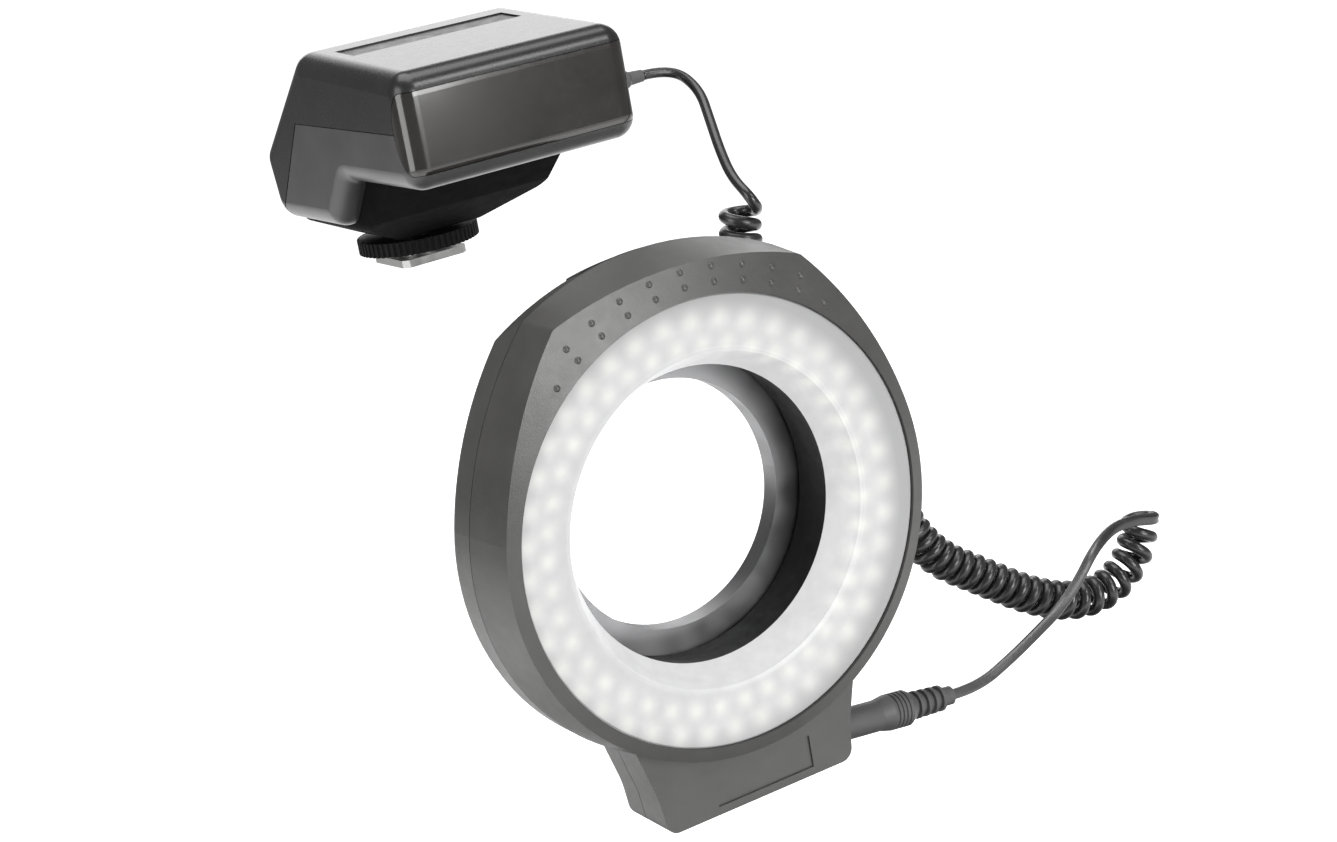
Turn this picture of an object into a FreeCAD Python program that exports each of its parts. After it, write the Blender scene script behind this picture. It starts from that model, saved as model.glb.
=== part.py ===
import FreeCAD, Part
import Sketcher
import math
import os

# Macro ring light: a ring head on its lens adapter, a battery and control unit on its shoe foot,
# and the curly cord between them. Millimetres, +Z up, the lit face looks along -Y.
# The row's origin is the centre of the lens thread of the adapter ring.

V = FreeCAD.Vector
doc = FreeCAD.newDocument("macro_ring_light")
sheet = doc.addObject("Spreadsheet::Sheet", "Sizes")

# Driving dimensions. Depths of the ring head are counted back from the edge of the diffuser's face.
# Those of the control unit are counted from the middle of the underside of its shoe foot.
SIZES = {
    # diffuser
    "diffuser_radius": 52.0,
    "diffuser_dish_radius": 39.5,
    "diffuser_dish_depth": 1.6,
    "diffuser_shoulder_radius": 38.4,
    "diffuser_shoulder_depth": 2.7,
    "diffuser_wall": 1.6,
    "diffuser_flange_width": 1.2,
    "diffuser_flange_depth": 3.0,
    "diffuser_flange_thickness": 1.4,
    "diffuser_seat_gap": 0.05,
    # bore
    "bore_front_radius": 34.6,
    "bore_front_depth": 10.2,
    "bore_rear_radius": 35.8,
    "bore_rear_depth": 22.9,
    "sleeve_outer_radius": 37.3,
    "sleeve_flange_radius": 38.9,
    "sleeve_flange_thickness": 1.2,
    # ring casing
    "casing_front_radius": 55.2,
    "casing_flare": 1.8,
    "seam_depth": 14.0,
    "casing_depth": 23.5,
    "casing_wall": 2.0,
    "rear_edge_round": 2.6,
    "seam_gap": 0.2,
    "lip_inset": 1.0,
    "face_rise": 0.7,
    "face_slope": 0.27,
    "crown_flank_radius": 90.0,
    "crown_flank_angle": 12.0,
    "crown_front_radius": 100.0,
    "crown_front_height": 59.2,
    "crown_seam_radius": 71.5,
    "crown_seam_height": 62.9,
    "crown_rear_height": 60.2,
    "crown_corner_round": 3.0,
    # raised grip dots on the crown
    "dot_radius": 0.8,
    "dot_height": 0.5,
    "dot_inner_ring": 54.7,
    "dot_outer_ring": 58.1,
    "dot_step_angle": 8.0,
    # base box under the ring
    "base_front_depth": 4.4,
    "base_neck_half_width": 30.8,
    "base_neck_height": -46.0,
    "base_waist_half_width": 26.9,
    "base_waist_height": -60.0,
    "base_foot_half_width": 26.0,
    "base_bottom_height": -69.0,
    "base_corner_round": 3.2,
    "base_waist_round": 24.0,
    "plate_width": 27.0,
    "plate_height": 8.0,
    "plate_centre_x": 1.5,
    "plate_centre_z": -63.0,
    "plate_recess": 0.5,
    # light board
    "board_front_depth": 16.9,
    "board_thickness": 1.6,
    "board_inner_radius": 37.6,
    "board_outer_radius": 53.2,
    "led_radius": 2.5,
    "led_length": 7.9,
    "led_inner_ring": 42.0,
    "led_outer_ring": 48.5,
    "led_inner_start": 1.1,
    "led_outer_start": 4.9,
    # adapter ring and its latch
    "thread_radius": 31.0,
    "thread_length": 3.5,
    "thread_bore_radius": 29.6,
    "adapter_plate_radius": 42.0,
    "adapter_plate_thickness": 1.8,
    "adapter_gap": 0.1,
    "spigot_inner_radius": 37.6,
    "spigot_outer_radius": 39.2,
    "spigot_lip": 0.8,
    "groove_depth": 1.2,
    "groove_width": 1.4,
    "latch_thickness": 1.1,
    "latch_gap": 0.15,
    "latch_hole_radius": 39.5,
    "latch_rim_radius": 44.0,
    "latch_lift": 1.3,
    "latch_stem_width": 10.0,
    "latch_guide_width": 1.5,
    "latch_guide_bottom": 46.0,
    "latch_guide_top": 53.0,
    "release_travel": 1.5,
    # release button
    "button_width": 32.0,
    "button_front_depth": 17.9,
    "button_rear_depth": 24.3,
    "button_height": 4.0,
    "button_proud": 0.2,
    "button_gap": 0.3,
    "button_edge_round": 0.6,
    "button_rib_pitch": 3.0,
    "button_rib_groove": 1.0,
    "button_rib_depth": 0.4,
    "spring_wire": 0.5,
    "spring_radius": 1.1,
    "spring_turns": 6.0,
    "spring_centre_x": 11.5,
    "spring_seat_height": 48.6,
    "spring_seat_thickness": 1.6,
    # casing screws
    "screw_radius": 1.1,
    "screw_head_radius": 2.3,
    "screw_head_height": 1.8,
    "screw_boss_radius": 3.2,
    "screw_length": 9.5,
    "screw_hole_gap": 0.2,
    "screw_boss_front_depth": 3.4,
    "crown_screw_x": 26.0,
    "crown_screw_z": 50.4,
    "base_screw_x": 21.0,
    "base_screw_z": -54.5,
    # power socket and plug
    "socket_height": -64.4,
    "socket_slope": 7.0,
    "socket_face_x": 27.4,
    "socket_radius": 4.2,
    "socket_length": 12.0,
    "socket_bore_radius": 2.85,
    "socket_pin_radius": 0.95,
    "plug_tip_radius": 2.75,
    "plug_tip_length": 9.0,
    "plug_tip_bore_radius": 1.05,
    "plug_gap": 1.6,
    "plug_length": 22.5,
    "plug_radius": 3.9,
    "plug_edge": 0.4,
    "plug_swell_radius": 4.5,
    "plug_swell_start": 10.8,
    "plug_swell_full": 7.6,
    "plug_groove_first": 0.6,
    "plug_groove_pitch": 1.15,
    "plug_groove_width": 0.55,
    "plug_groove_depth": 0.3,
    "plug_shoulder_length": 2.2,
    "plug_neck_radius": 3.2,
    "plug_boot_length": 12.2,
    "boot_neck_radius": 2.75,
    "boot_rib_radius": 3.5,
    "boot_rib_first": 0.5,
    "boot_rib_pitch": 2.35,
    "boot_rib_width": 1.3,
    "boot_rib_slope": 0.25,
    "boot_taper": 0.08,
    "boot_end_radius": 2.35,
    # cord
    "cord_diameter": 2.5,
    "curl_radius": 3.75,
    # control unit: place and outline
    "unit_behind": 133.0,
    "unit_above": 49.0,
    "unit_half_width": 31.0,
    "unit_front_reach": 73.0,
    "unit_front_bottom": 29.5,
    "unit_front_top": 57.2,
    "unit_top_rear_ahead": 16.0,
    "unit_top_rear_height": 61.0,
    "unit_tail_behind": 17.5,
    "unit_tail_height": 34.6,
    "unit_heel_behind": 14.5,
    "unit_bottom_height": 17.0,
    "unit_step_ahead": 21.0,
    "unit_step_top_ahead": 32.5,
    "unit_edge_round": 5.0,
    "unit_wall": 2.2,
    "unit_seam_height": 43.5,
    "unit_seam_corner_ahead": 9.0,
    "unit_seam_gap": 0.2,
    "unit_boss_radius": 2.6,
    "unit_screw_behind_front": 12.0,
    "unit_screw_x": 24.0,
    "unit_rear_screw_behind": 9.4,
    "unit_rear_screw_x": 20.0,
    "unit_screw_sink": 3.0,
    "unit_screw_grip": 5.0,
    "unit_screw_below_seam": 5.0,
    "unit_rear_boss_height": 27.5,
    # front panel
    "panel_bottom": 33.6,
    "panel_top": 53.0,
    "panel_side_reach": 2.2,
    "panel_side_bulge": 6.2,
    "panel_thickness": 2.0,
    "panel_gap": 0.15,
    # band in the top
    "band_front_ahead": 36.0,
    "band_length": 11.0,
    "band_half_width": 23.4,
    "band_recess": 1.2,
    "band_thickness": 0.8,
    # cells and their door
    "cell_radius": 7.25,
    "cell_length": 49.5,
    "cell_spacing": 15.0,
    "cell_upper_ahead": 31.0,
    "cell_upper_height": 44.0,
    "cell_row_drop": 15.0,
    "cell_row_shift": 14.2,
    "cell_clearance": 0.1,
    "cell_box_wall": 1.0,
    "door_opening_clearance": 0.5,
    "door_lip": 0.7,
    "door_gap": 0.15,
    "door_thickness": 1.8,
    "door_boss_length": 3.0,
    "hinge_pin_radius": 0.45,
    "hinge_clearance": 0.05,
    "hinge_ear_radius": 0.9,
    "hinge_ear_width": 2.2,
    "hinge_ear_inset": 3.0,
    "contact_thickness": 0.4,
    # controls on the slanted rear
    "control_plate_width": 46.0,
    "control_plate_length": 24.0,
    "control_plate_recess": 0.8,
    "control_plate_thickness": 1.0,
    "control_plate_shift": 3.0,
    "dial_radius": 8.0,
    "dial_height": 4.2,
    "dial_shaft_radius": 2.0,
    "dial_clearance": 0.05,
    "dial_x": 12.5,
    "switch_length": 7.0,
    "switch_width": 4.4,
    "switch_height": 2.4,
    "switch_travel": 5.0,
    "selector_travel": 3.0,
    "switch_x": -12.0,
    "switch_row": 5.2,
    "lamp_radius": 1.5,
    "lamp_x": -1.0,
    "lamp_row": -6.5,
    # driver board
    "driver_board_height": 35.0,
    "driver_board_half_width": 26.0,
    "driver_board_length": 27.0,
    "driver_board_thickness": 1.6,
    "driver_board_behind_front": 4.0,
    "driver_post_radius": 2.0,
    "driver_post_x": 20.0,
    "driver_post_inset": 5.0,
    # foot
    "block_half_width": 25.0,
    "block_bottom_half_width": 11.5,
    "block_bottom_height": 8.8,
    "block_side_bottom": 15.6,
    "block_side_round": 3.0,
    "block_front_ahead": 45.5,
    "block_front_drop": 1.0,
    "block_nose_ahead": 31.0,
    "block_nose_height": 17.5,
    "block_toe_ahead": 14.0,
    "block_heel_behind": 13.0,
    "block_corner_round": 3.0,
    "neck_radius": 5.9,
    "neck_clearance": 0.05,
    "shoe_width": 18.6,
    "shoe_length": 18.0,
    "shoe_thickness": 2.0,
    "washer_radius": 11.5,
    "washer_thickness": 0.8,
    "rail_gap": 1.2,
    "wheel_radius": 16.0,
    "wheel_thickness": 3.7,
    "wheel_groove_radius": 0.5,
    # strain relief of the lead
    "boot_behind_front": 12.0,
    "boot_height": 41.6,
    "boot_flange_radius": 2.7,
    "boot_flange_thickness": 1.3,
    "boot_length": 9.0,
}

LED_COUNT = 40
WHEEL_GROOVES = 60
DIAL_GROOVES = 24
INNER_DOTS = 11
OUTER_DOTS = 9
PLUG_GROOVES = 4
BOOT_RIBS = 4
BUTTON_GROOVES = 7

# How far a cutting tool reaches past the material, and how deep joined pieces run into each other
PAST = 1.0
INTO = 0.5


class Size:
    """A number together with the sheet expression that gives it."""

    def __init__(self, value, text):
        self.value = float(value)
        self.text = text

    def __float__(self):
        return self.value

    def __add__(self, other):
        other = as_size(other)
        return Size(self.value + other.value, "(" + self.text + " + " + other.text + ")")

    def __sub__(self, other):
        other = as_size(other)
        return Size(self.value - other.value, "(" + self.text + " - " + other.text + ")")

    def __mul__(self, other):
        other = as_size(other)
        return Size(self.value * other.value, "(" + self.text + " * " + other.text + ")")

    def __truediv__(self, other):
        other = as_size(other)
        return Size(self.value / other.value, "(" + self.text + " / " + other.text + ")")

    def __radd__(self, other):
        return as_size(other) + self

    def __rsub__(self, other):
        return as_size(other) - self

    def __rmul__(self, other):
        return as_size(other) * self

    def __neg__(self):
        return as_size(0.0) - self


def as_size(item):
    if isinstance(item, Size):
        return item
    return Size(item, repr(float(item)))


class Named:
    """Holds one Size for each row of the sheet."""


s = Named()
for row, (alias, number) in enumerate(SIZES.items(), start=1):
    sheet.set("A%d" % row, alias)
    sheet.set("B%d" % row, repr(number))
    sheet.setAlias("B%d" % row, alias)
    setattr(s, alias, Size(number, "Sizes." + alias))
doc.recompute()

# Places that several pieces share
seat_depth = s.casing_depth + s.adapter_gap + s.adapter_plate_thickness
mount_depth = seat_depth + s.thread_length / 2
board_rear_depth = s.board_front_depth + s.board_thickness
rear_wall_depth = s.casing_depth - s.casing_wall
groove_front_depth = board_rear_depth + 0.4 + s.spigot_lip
groove_rear_depth = groove_front_depth + s.groove_width
latch_front_depth = groove_front_depth + s.latch_gap
button_floor = s.crown_rear_height + s.button_proud - s.button_height
above_crown = s.crown_seam_height + PAST
boot_ahead = s.unit_front_reach - s.boot_behind_front

RING = FreeCAD.Placement(V(0, -float(mount_depth), 0), FreeCAD.Rotation())
UNIT = FreeCAD.Placement(V(0, float(s.unit_behind - mount_depth), float(s.unit_above)), FreeCAD.Rotation())

nodes = []


# Helpers for solids made with Part functions

def vec(x, y, z):
    return V(float(x), float(y), float(z))


def box(x0, x1, y0, y1, z0, z1):
    low = vec(x0, y0, z0)
    high = vec(x1, y1, z1)
    return Part.makeBox(high.x - low.x, high.y - low.y, high.z - low.z, low)


def rod(radius, start, end):
    axis = end - start
    return Part.makeCylinder(float(radius), axis.Length, start, axis)


def fuse(first, others):
    for other in others:
        first = first.fuse(other)
    return first.removeSplitter()


def arc_through(centre, radius, first_angle, last_angle, lay):
    """An arc in a flat (u, v) plane; lay turns (u, v) into a point."""
    points = []
    for share in (0.0, 0.5, 1.0):
        angle = first_angle + (last_angle - first_angle) * share
        points.append(lay(centre[0] + radius * math.cos(angle), centre[1] + radius * math.sin(angle)))
    return Part.Arc(*points).toShape()


def rounded_outline(corners, lay):
    """A closed wire through corners (u, v, radius), each corner rounded by its radius."""
    edges = []
    ends = []
    count = len(corners)
    for index, (u, v, radius) in enumerate(corners):
        here = FreeCAD.Vector(float(u), float(v), 0)
        last = FreeCAD.Vector(float(corners[index - 1][0]), float(corners[index - 1][1]), 0)
        after = corners[(index + 1) % count]
        following = FreeCAD.Vector(float(after[0]), float(after[1]), 0)
        back = (last - here).normalize()
        ahead = (following - here).normalize()
        half = back.getAngle(ahead) / 2
        reach = float(radius) / math.tan(half)
        middle = (back + ahead).normalize()
        near = float(radius) / math.sin(half) - float(radius)
        ends.append((here + back * reach, here + middle * near, here + ahead * reach))
    for index, (start, middle, end) in enumerate(ends):
        if (end - start).Length > 1e-6:
            edges.append(Part.Arc(lay(start.x, start.y), lay(middle.x, middle.y), lay(end.x, end.y)).toShape())
        following = ends[(index + 1) % count][0]
        if (following - end).Length > 1e-6:
            edges.append(Part.LineSegment(lay(end.x, end.y), lay(following.x, following.y)).toShape())
    return Part.Wire(edges)


def turned(profile, start, direction):
    """A solid of revolution. The profile holds (distance along the axis, radius) pairs."""
    points = [V(float(radius), 0, float(along)) for along, radius in profile]
    face = Part.Face(Part.makePolygon(points + points[:1]))
    solid = face.revolve(V(0, 0, 0), V(0, 0, 1), 360)
    solid.Placement = FreeCAD.Placement(start, FreeCAD.Rotation(V(0, 0, 1), direction))
    return solid


def keep(name, shape, place):
    piece = doc.addObject("Part::Feature", name)
    piece.Label = name
    piece.Shape = shape
    piece.Placement = place.multiply(piece.Placement)
    nodes.append(piece)
    return piece


# Helpers for bodies made from sketches

def new_body(name, place):
    body = doc.addObject("PartDesign::Body", name)
    body.Label = name
    body.Placement = place
    nodes.append(body)
    return body


def new_sketch(body, role, name):
    plane = [item for item in body.Origin.OriginFeatures if item.Role == role][0]
    sketch = body.newObject("Sketcher::SketchObject", name)
    sketch.AttachmentSupport = [(plane, "")]
    sketch.MapMode = "FlatFace"
    return sketch


def pin_point(sketch, geometry, corner, u, v):
    """Ties one point of a sketch to two sizes."""
    for kind, size, axis in (("DistanceX", as_size(u), -2), ("DistanceY", as_size(v), -1)):
        if abs(size.value) < 1e-9:
            sketch.addConstraint(Sketcher.Constraint("PointOnObject", geometry, corner, axis))
            continue
        number = sketch.addConstraint(Sketcher.Constraint(kind, -1, 1, geometry, corner, size.value))
        if "Sizes." in size.text:
            sketch.setExpression("Constraints[%d]" % number, size.text)


def draw_outline(sketch, corners):
    """A closed outline of straight lines; every corner is tied to the sheet."""
    count = len(corners)
    points = [V(float(u), float(v), 0) for u, v in corners]
    first = sketch.GeometryCount
    for index in range(count):
        sketch.addGeometry(Part.LineSegment(points[index], points[(index + 1) % count]), False)
    for index in range(count):
        following = first + (index + 1) % count
        sketch.addConstraint(Sketcher.Constraint("Coincident", first + index, 2, following, 1))
    for index, (u, v) in enumerate(corners):
        pin_point(sketch, first + index, 1, u, v)


def draw_circle(sketch, u, v, radius):
    number = sketch.addGeometry(Part.Circle(V(float(u), float(v), 0), V(0, 0, 1), float(radius)), False)
    constraint = sketch.addConstraint(Sketcher.Constraint("Radius", number, float(radius)))
    sketch.setExpression("Constraints[%d]" % constraint, as_size(radius).text)
    pin_point(sketch, number, 3, u, v)


def revolve_body(name, corners, place):
    """A ring turned about the Y axis from an outline of (radius, depth) corners."""
    body = new_body(name, place)
    sketch = new_sketch(body, "XY_Plane", name + "_profile")
    draw_outline(sketch, corners)
    turn = body.newObject("PartDesign::Revolution", name + "_turn")
    turn.Profile = sketch
    turn.ReferenceAxis = (sketch, ["V_Axis"])
    turn.Angle = 360.0
    body.Tip = turn
    return body


def pad_body(name, place, length, corners=None, circles=()):
    """A flat piece padded up from the body's own XY plane."""
    body = new_body(name, place)
    sketch = new_sketch(body, "XY_Plane", name + "_outline")
    if corners:
        draw_outline(sketch, corners)
    for u, v, radius in circles:
        draw_circle(sketch, u, v, radius)
    pad = body.newObject("PartDesign::Pad", name + "_pad")
    pad.Profile = sketch
    pad.setExpression("Length", as_size(length).text)
    body.Tip = pad
    return body


def knurl(body, name, height, rim_radius, groove_radius, count):
    """Cuts straight grooves round the rim of a padded disc."""
    sketch = new_sketch(body, "XY_Plane", name + "_groove")
    draw_circle(sketch, rim_radius, 0.0, groove_radius)
    doc.recompute()
    before = body.Shape.Volume
    cut = body.newObject("PartDesign::Pocket", name + "_cut")
    cut.Profile = sketch
    cut.Type = "ThroughAll"
    cut.Reversed = True
    doc.recompute()
    if cut.Shape.Volume >= before - 1e-6:
        raise RuntimeError(name + ": the groove cuts nothing")
    pattern = body.newObject("PartDesign::PolarPattern", name + "_grooves")
    pattern.Originals = [cut]
    pattern.Axis = (sketch, ["N_Axis"])
    pattern.Angle = 360.0
    pattern.Occurrences = count
    body.Tip = pattern
    doc.recompute()


# Ring casing: outline of the round casing with the crown on top

def circles_meet(first, first_radius, second, second_radius):
    """The crossing of two circles that has the larger u."""
    du = second[0] - first[0]
    dv = second[1] - first[1]
    gap = math.hypot(du, dv)
    along = (gap * gap + first_radius ** 2 - second_radius ** 2) / (2 * gap)
    off = math.sqrt(first_radius ** 2 - along ** 2)
    options = []
    for sign in (-1, 1):
        u = first[0] + along * du / gap - sign * off * dv / gap
        v = first[1] + along * dv / gap + sign * off * du / gap
        options.append((u, v))
    return max(options)


def casing_outline(depth, inset):
    """The closed outline of the ring casing at a depth, drawn in by an inset.

    The crown rises from the front to the seam and falls from there to the rear."""
    if depth <= float(s.seam_depth):
        share = depth / float(s.seam_depth)
        full = float(s.casing_front_radius) + float(s.casing_flare) * share
        crown = float(s.crown_front_height) + float(s.crown_seam_height - s.crown_front_height) * share
        arch = float(s.crown_front_radius) + float(s.crown_seam_radius - s.crown_front_radius) * share
    else:
        share = (depth - float(s.seam_depth)) / float(s.casing_depth - s.seam_depth)
        full = float(s.casing_front_radius + s.casing_flare)
        crown = float(s.crown_seam_height) + float(s.crown_rear_height - s.crown_seam_height) * share
        arch = float(s.crown_seam_radius)
    tilt = math.radians(float(s.crown_flank_angle))
    radius = full - inset
    flank_radius = float(s.crown_flank_radius) - inset
    top_radius = arch - inset
    corner = max(float(s.crown_corner_round) - inset, 0.6)
    shift = full - float(s.crown_flank_radius)
    flank = (shift * math.cos(tilt), shift * math.sin(tilt))
    top = (0.0, crown - arch)
    middle = circles_meet(flank, flank_radius - corner, top, top_radius - corner)
    flank_end = math.atan2(middle[1] - flank[1], middle[0] - flank[0])
    top_end = math.atan2(middle[1] - top[1], middle[0] - top[0])
    quarter = math.pi / 2

    def right(u, v):
        return V(u, depth, v)

    def left(u, v):
        return V(-u, depth, v)

    edges = [
        arc_through((0, 0), radius, -quarter, tilt, right),
        arc_through(flank, flank_radius, tilt, flank_end, right),
        arc_through(middle, corner, flank_end, top_end, right),
        arc_through(top, top_radius, top_end, math.pi - top_end, right),
        arc_through(middle, corner, top_end, flank_end, left),
        arc_through(flank, flank_radius, flank_end, tilt, left),
        arc_through((0, 0), radius, tilt, -quarter, left),
    ]
    return Part.Wire(edges)


def casing_block(front, rear, inset):
    """The casing's form between two depths on the same side of the seam."""
    wires = [casing_outline(float(front), float(inset)), casing_outline(float(rear), float(inset))]
    return Part.makeLoft(wires, True, True)


def base_outline(depth, inset):
    """The closed outline of the base box at a depth."""
    corner = max(float(s.base_corner_round - inset), 0.6)
    foot = float(s.base_foot_half_width - inset)
    waist = float(s.base_waist_half_width - inset)
    neck = float(s.base_neck_half_width - inset)
    bottom = float(s.base_bottom_height + inset)
    waist_round = s.base_waist_round
    sides = [
        (neck, s.base_neck_height, 0.0),
        (-neck, s.base_neck_height, 0.0),
        (-waist, s.base_waist_height, waist_round),
        (-foot, bottom, corner),
        (foot, bottom, corner),
        (waist, s.base_waist_height, waist_round),
    ]
    return rounded_outline(sides, lambda u, v: V(u, float(depth), v))


def base_block(front, rear, inset):
    face = Part.Face(base_outline(front, inset))
    return face.extrude(V(0, float(rear - front), 0))


def in_front_of_face(wall):
    """The space in front of the casing's conical face, moved back by a wall."""
    far = 90.0
    rim = float(s.diffuser_radius)
    start = -float(s.face_rise) + wall
    outline = [
        V(0, -20, 0),
        V(far, -20, 0),
        V(far, start + float(s.face_slope) * (far - rim), 0),
        V(rim, start, 0),
        V(0, start, 0),
    ]
    face = Part.Face(Part.makePolygon(outline + outline[:1]))
    return face.revolve(V(0, 0, 0), V(0, 1, 0), 360)


def crown_dots():
    """Raised dots in two rows on the crown, as low domes seated on its conical face."""
    lean = math.atan(float(s.face_slope))
    radius = float(s.dot_radius)
    height = float(s.dot_height)
    ball = (radius ** 2 + height ** 2) / (2 * height)
    domes = []
    for ring, count in ((s.dot_inner_ring, INNER_DOTS), (s.dot_outer_ring, OUTER_DOTS)):
        depth = -float(s.face_rise) + float(s.face_slope) * (float(ring) - float(s.diffuser_radius))
        out = V(math.sin(lean), -math.cos(lean), 0)
        centre = V(float(ring), depth, 0) - out * (ball - height)
        for index in range(count):
            angle = 90 + float(s.dot_step_angle) * (index - (count - 1) / 2)
            dome = Part.makeSphere(ball, V(0, 0, 0), out, 0, 90, 360)
            slab = Part.makeCylinder(radius, 2 * ball, out * (ball - height - 0.3), out)
            dome = dome.common(slab)
            dome.translate(centre)
            dome.rotate(V(0, 0, 0), V(0, -1, 0), angle)
            domes.append(dome)
    return domes


def ring_screw_places():
    return [
        (float(s.crown_screw_x), float(s.crown_screw_z)),
        (-float(s.crown_screw_x), float(s.crown_screw_z)),
        (float(s.base_screw_x), float(s.base_screw_z)),
        (-float(s.base_screw_x), float(s.base_screw_z)),
    ]


socket_lean = math.radians(float(s.socket_slope))
socket_way = V(math.cos(socket_lean), 0, -math.sin(socket_lean))
socket_face = vec(s.socket_face_x, s.seam_depth, s.socket_height)
screw_seat_depth = s.seam_depth + 3.2


def socket_hole():
    return rod(s.socket_radius, socket_face - socket_way * (float(s.socket_length) + 2), socket_face + socket_way * 8)


def front_shell():
    seam = s.seam_depth
    wall = s.casing_wall
    body = casing_block(-3.0, seam, 0.0).cut(in_front_of_face(0.0))
    body = body.fuse(base_block(s.base_front_depth, seam, 0.0))
    hollow = casing_block(-3.0, seam, wall).cut(in_front_of_face(float(s.diffuser_flange_depth + s.face_rise)))
    hollow = hollow.fuse(base_block(s.base_front_depth + wall, seam, wall))
    body = body.cut(hollow)
    window = Part.makeCylinder(float(s.diffuser_radius) + 0.05, 30, V(0, -20, 0), V(0, 1, 0))
    body = body.cut(window)
    bosses = []
    for x, z in ring_screw_places():
        start = s.screw_boss_front_depth if z > 0 else s.base_front_depth + INTO
        bosses.append(rod(s.screw_boss_radius, vec(x, start, z), vec(x, seam, z)))
    body = fuse(body, bosses + crown_dots())
    for x, z in ring_screw_places():
        tip = screw_seat_depth - s.screw_length
        body = body.cut(rod(s.screw_radius, vec(x, tip, z), vec(x, seam, z)))
    half = s.plate_width / 2
    rise = s.plate_height / 2
    recess = box(s.plate_centre_x - half, s.plate_centre_x + half,
                 s.base_front_depth - PAST, s.base_front_depth + s.plate_recess,
                 s.plate_centre_z - rise, s.plate_centre_z + rise)
    body = body.cut(recess).cut(socket_hole())
    return keep("front_shell", body, RING)


def rear_shell():
    seam = s.seam_depth + s.seam_gap
    wall = s.casing_wall
    outer = casing_block(seam, s.casing_depth, 0.0)
    outer = outer.fuse(base_block(seam, s.casing_depth, 0.0)).removeSplitter()
    rims = []
    for edge in outer.Edges:
        low = min(vertex.Point.y for vertex in edge.Vertexes)
        if low > float(s.casing_depth) - 0.01:
            rims.append(edge)
    outer = outer.makeFillet(float(s.rear_edge_round), rims)
    step = Part.Face(casing_outline(float(seam), float(s.lip_inset))).extrude(vec(0, s.seam_gap + INTO, 0))
    step.translate(vec(0, -s.seam_gap, 0))
    step = step.fuse(base_block(s.seam_depth, seam + INTO, s.lip_inset))
    hollow = casing_block(seam - PAST, rear_wall_depth, wall)
    hollow = hollow.fuse(base_block(seam - PAST, rear_wall_depth, wall))
    body = outer.fuse(step).cut(hollow)
    bosses = []
    for x, z in ring_screw_places():
        bosses.append(rod(s.screw_boss_radius, vec(x, seam + 0.1, z), vec(x, rear_wall_depth + INTO, z)))
    half_stem = s.latch_stem_width / 2 + s.button_gap
    half_seat = s.spring_radius * 2 + s.spring_wire
    for side in (-1, 1):
        low, high = sorted((float(half_stem) * side, float(half_stem + s.latch_guide_width) * side))
        bosses.append(box(low, high, board_rear_depth + s.button_gap, rear_wall_depth + INTO,
                          s.latch_guide_bottom, s.latch_guide_top))
        centre = s.spring_centre_x * side
        bosses.append(box(centre - half_seat, centre + half_seat, board_rear_depth + s.button_gap,
                          rear_wall_depth + INTO, s.spring_seat_height - s.spring_seat_thickness,
                          s.spring_seat_height))
    body = fuse(body, bosses)
    behind = s.casing_depth + PAST
    for x, z in ring_screw_places():
        body = body.cut(rod(s.screw_radius + s.screw_hole_gap, vec(x, seam - PAST, z), vec(x, behind, z)))
        body = body.cut(rod(s.screw_head_radius + s.screw_hole_gap, vec(x, screw_seat_depth, z), vec(x, behind, z)))
    half = s.button_width / 2 + s.button_gap
    slot = box(-half, half, s.button_front_depth - s.button_gap, behind,
               button_floor - s.release_travel - s.button_gap, above_crown)
    hole = rod(s.spigot_outer_radius + 0.2, V(0, 0, 0), vec(0, behind, 0))
    body = body.cut(slot).cut(hole).cut(socket_hole())
    return keep("rear_shell", body, RING)


def diffuser():
    flange = s.diffuser_radius + s.diffuser_flange_width
    inner = s.diffuser_radius - s.diffuser_wall
    seat = s.diffuser_flange_depth + s.diffuser_seat_gap
    back = seat + s.diffuser_flange_thickness
    corners = [
        (s.diffuser_radius - 0.4, 0.0),
        (s.diffuser_dish_radius, s.diffuser_dish_depth),
        (s.diffuser_shoulder_radius + 0.3, s.diffuser_dish_depth + 0.4),
        (s.diffuser_shoulder_radius, s.diffuser_shoulder_depth),
        (s.bore_front_radius, s.bore_front_depth),
        (s.bore_front_radius + s.diffuser_wall, s.bore_front_depth),
        (s.diffuser_shoulder_radius + s.diffuser_wall, s.diffuser_shoulder_depth + 0.8),
        (s.diffuser_dish_radius + 1.2, s.diffuser_dish_depth + s.diffuser_wall - 0.1),
        (inner, s.diffuser_wall + 0.2),
        (inner, back),
        (flange, back),
        (flange, seat + s.diffuser_flange_width * s.face_slope),
        (s.diffuser_radius, seat),
        (s.diffuser_radius, 0.4),
    ]
    return revolve_body("diffuser", corners, RING)


def bore_sleeve():
    front = s.bore_front_depth + 0.1
    flange_front = s.board_front_depth - s.sleeve_flange_thickness
    corners = [
        (s.bore_front_radius, front),
        (s.bore_rear_radius, s.bore_rear_depth),
        (s.sleeve_outer_radius, s.bore_rear_depth),
        (s.sleeve_outer_radius, s.board_front_depth),
        (s.sleeve_flange_radius, s.board_front_depth),
        (s.sleeve_flange_radius, flange_front),
        (s.sleeve_outer_radius, flange_front),
        (s.sleeve_outer_radius, front + 1.2),
        (s.bore_front_radius + s.diffuser_wall, front),
    ]
    return revolve_body("bore_sleeve", corners, RING)


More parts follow.
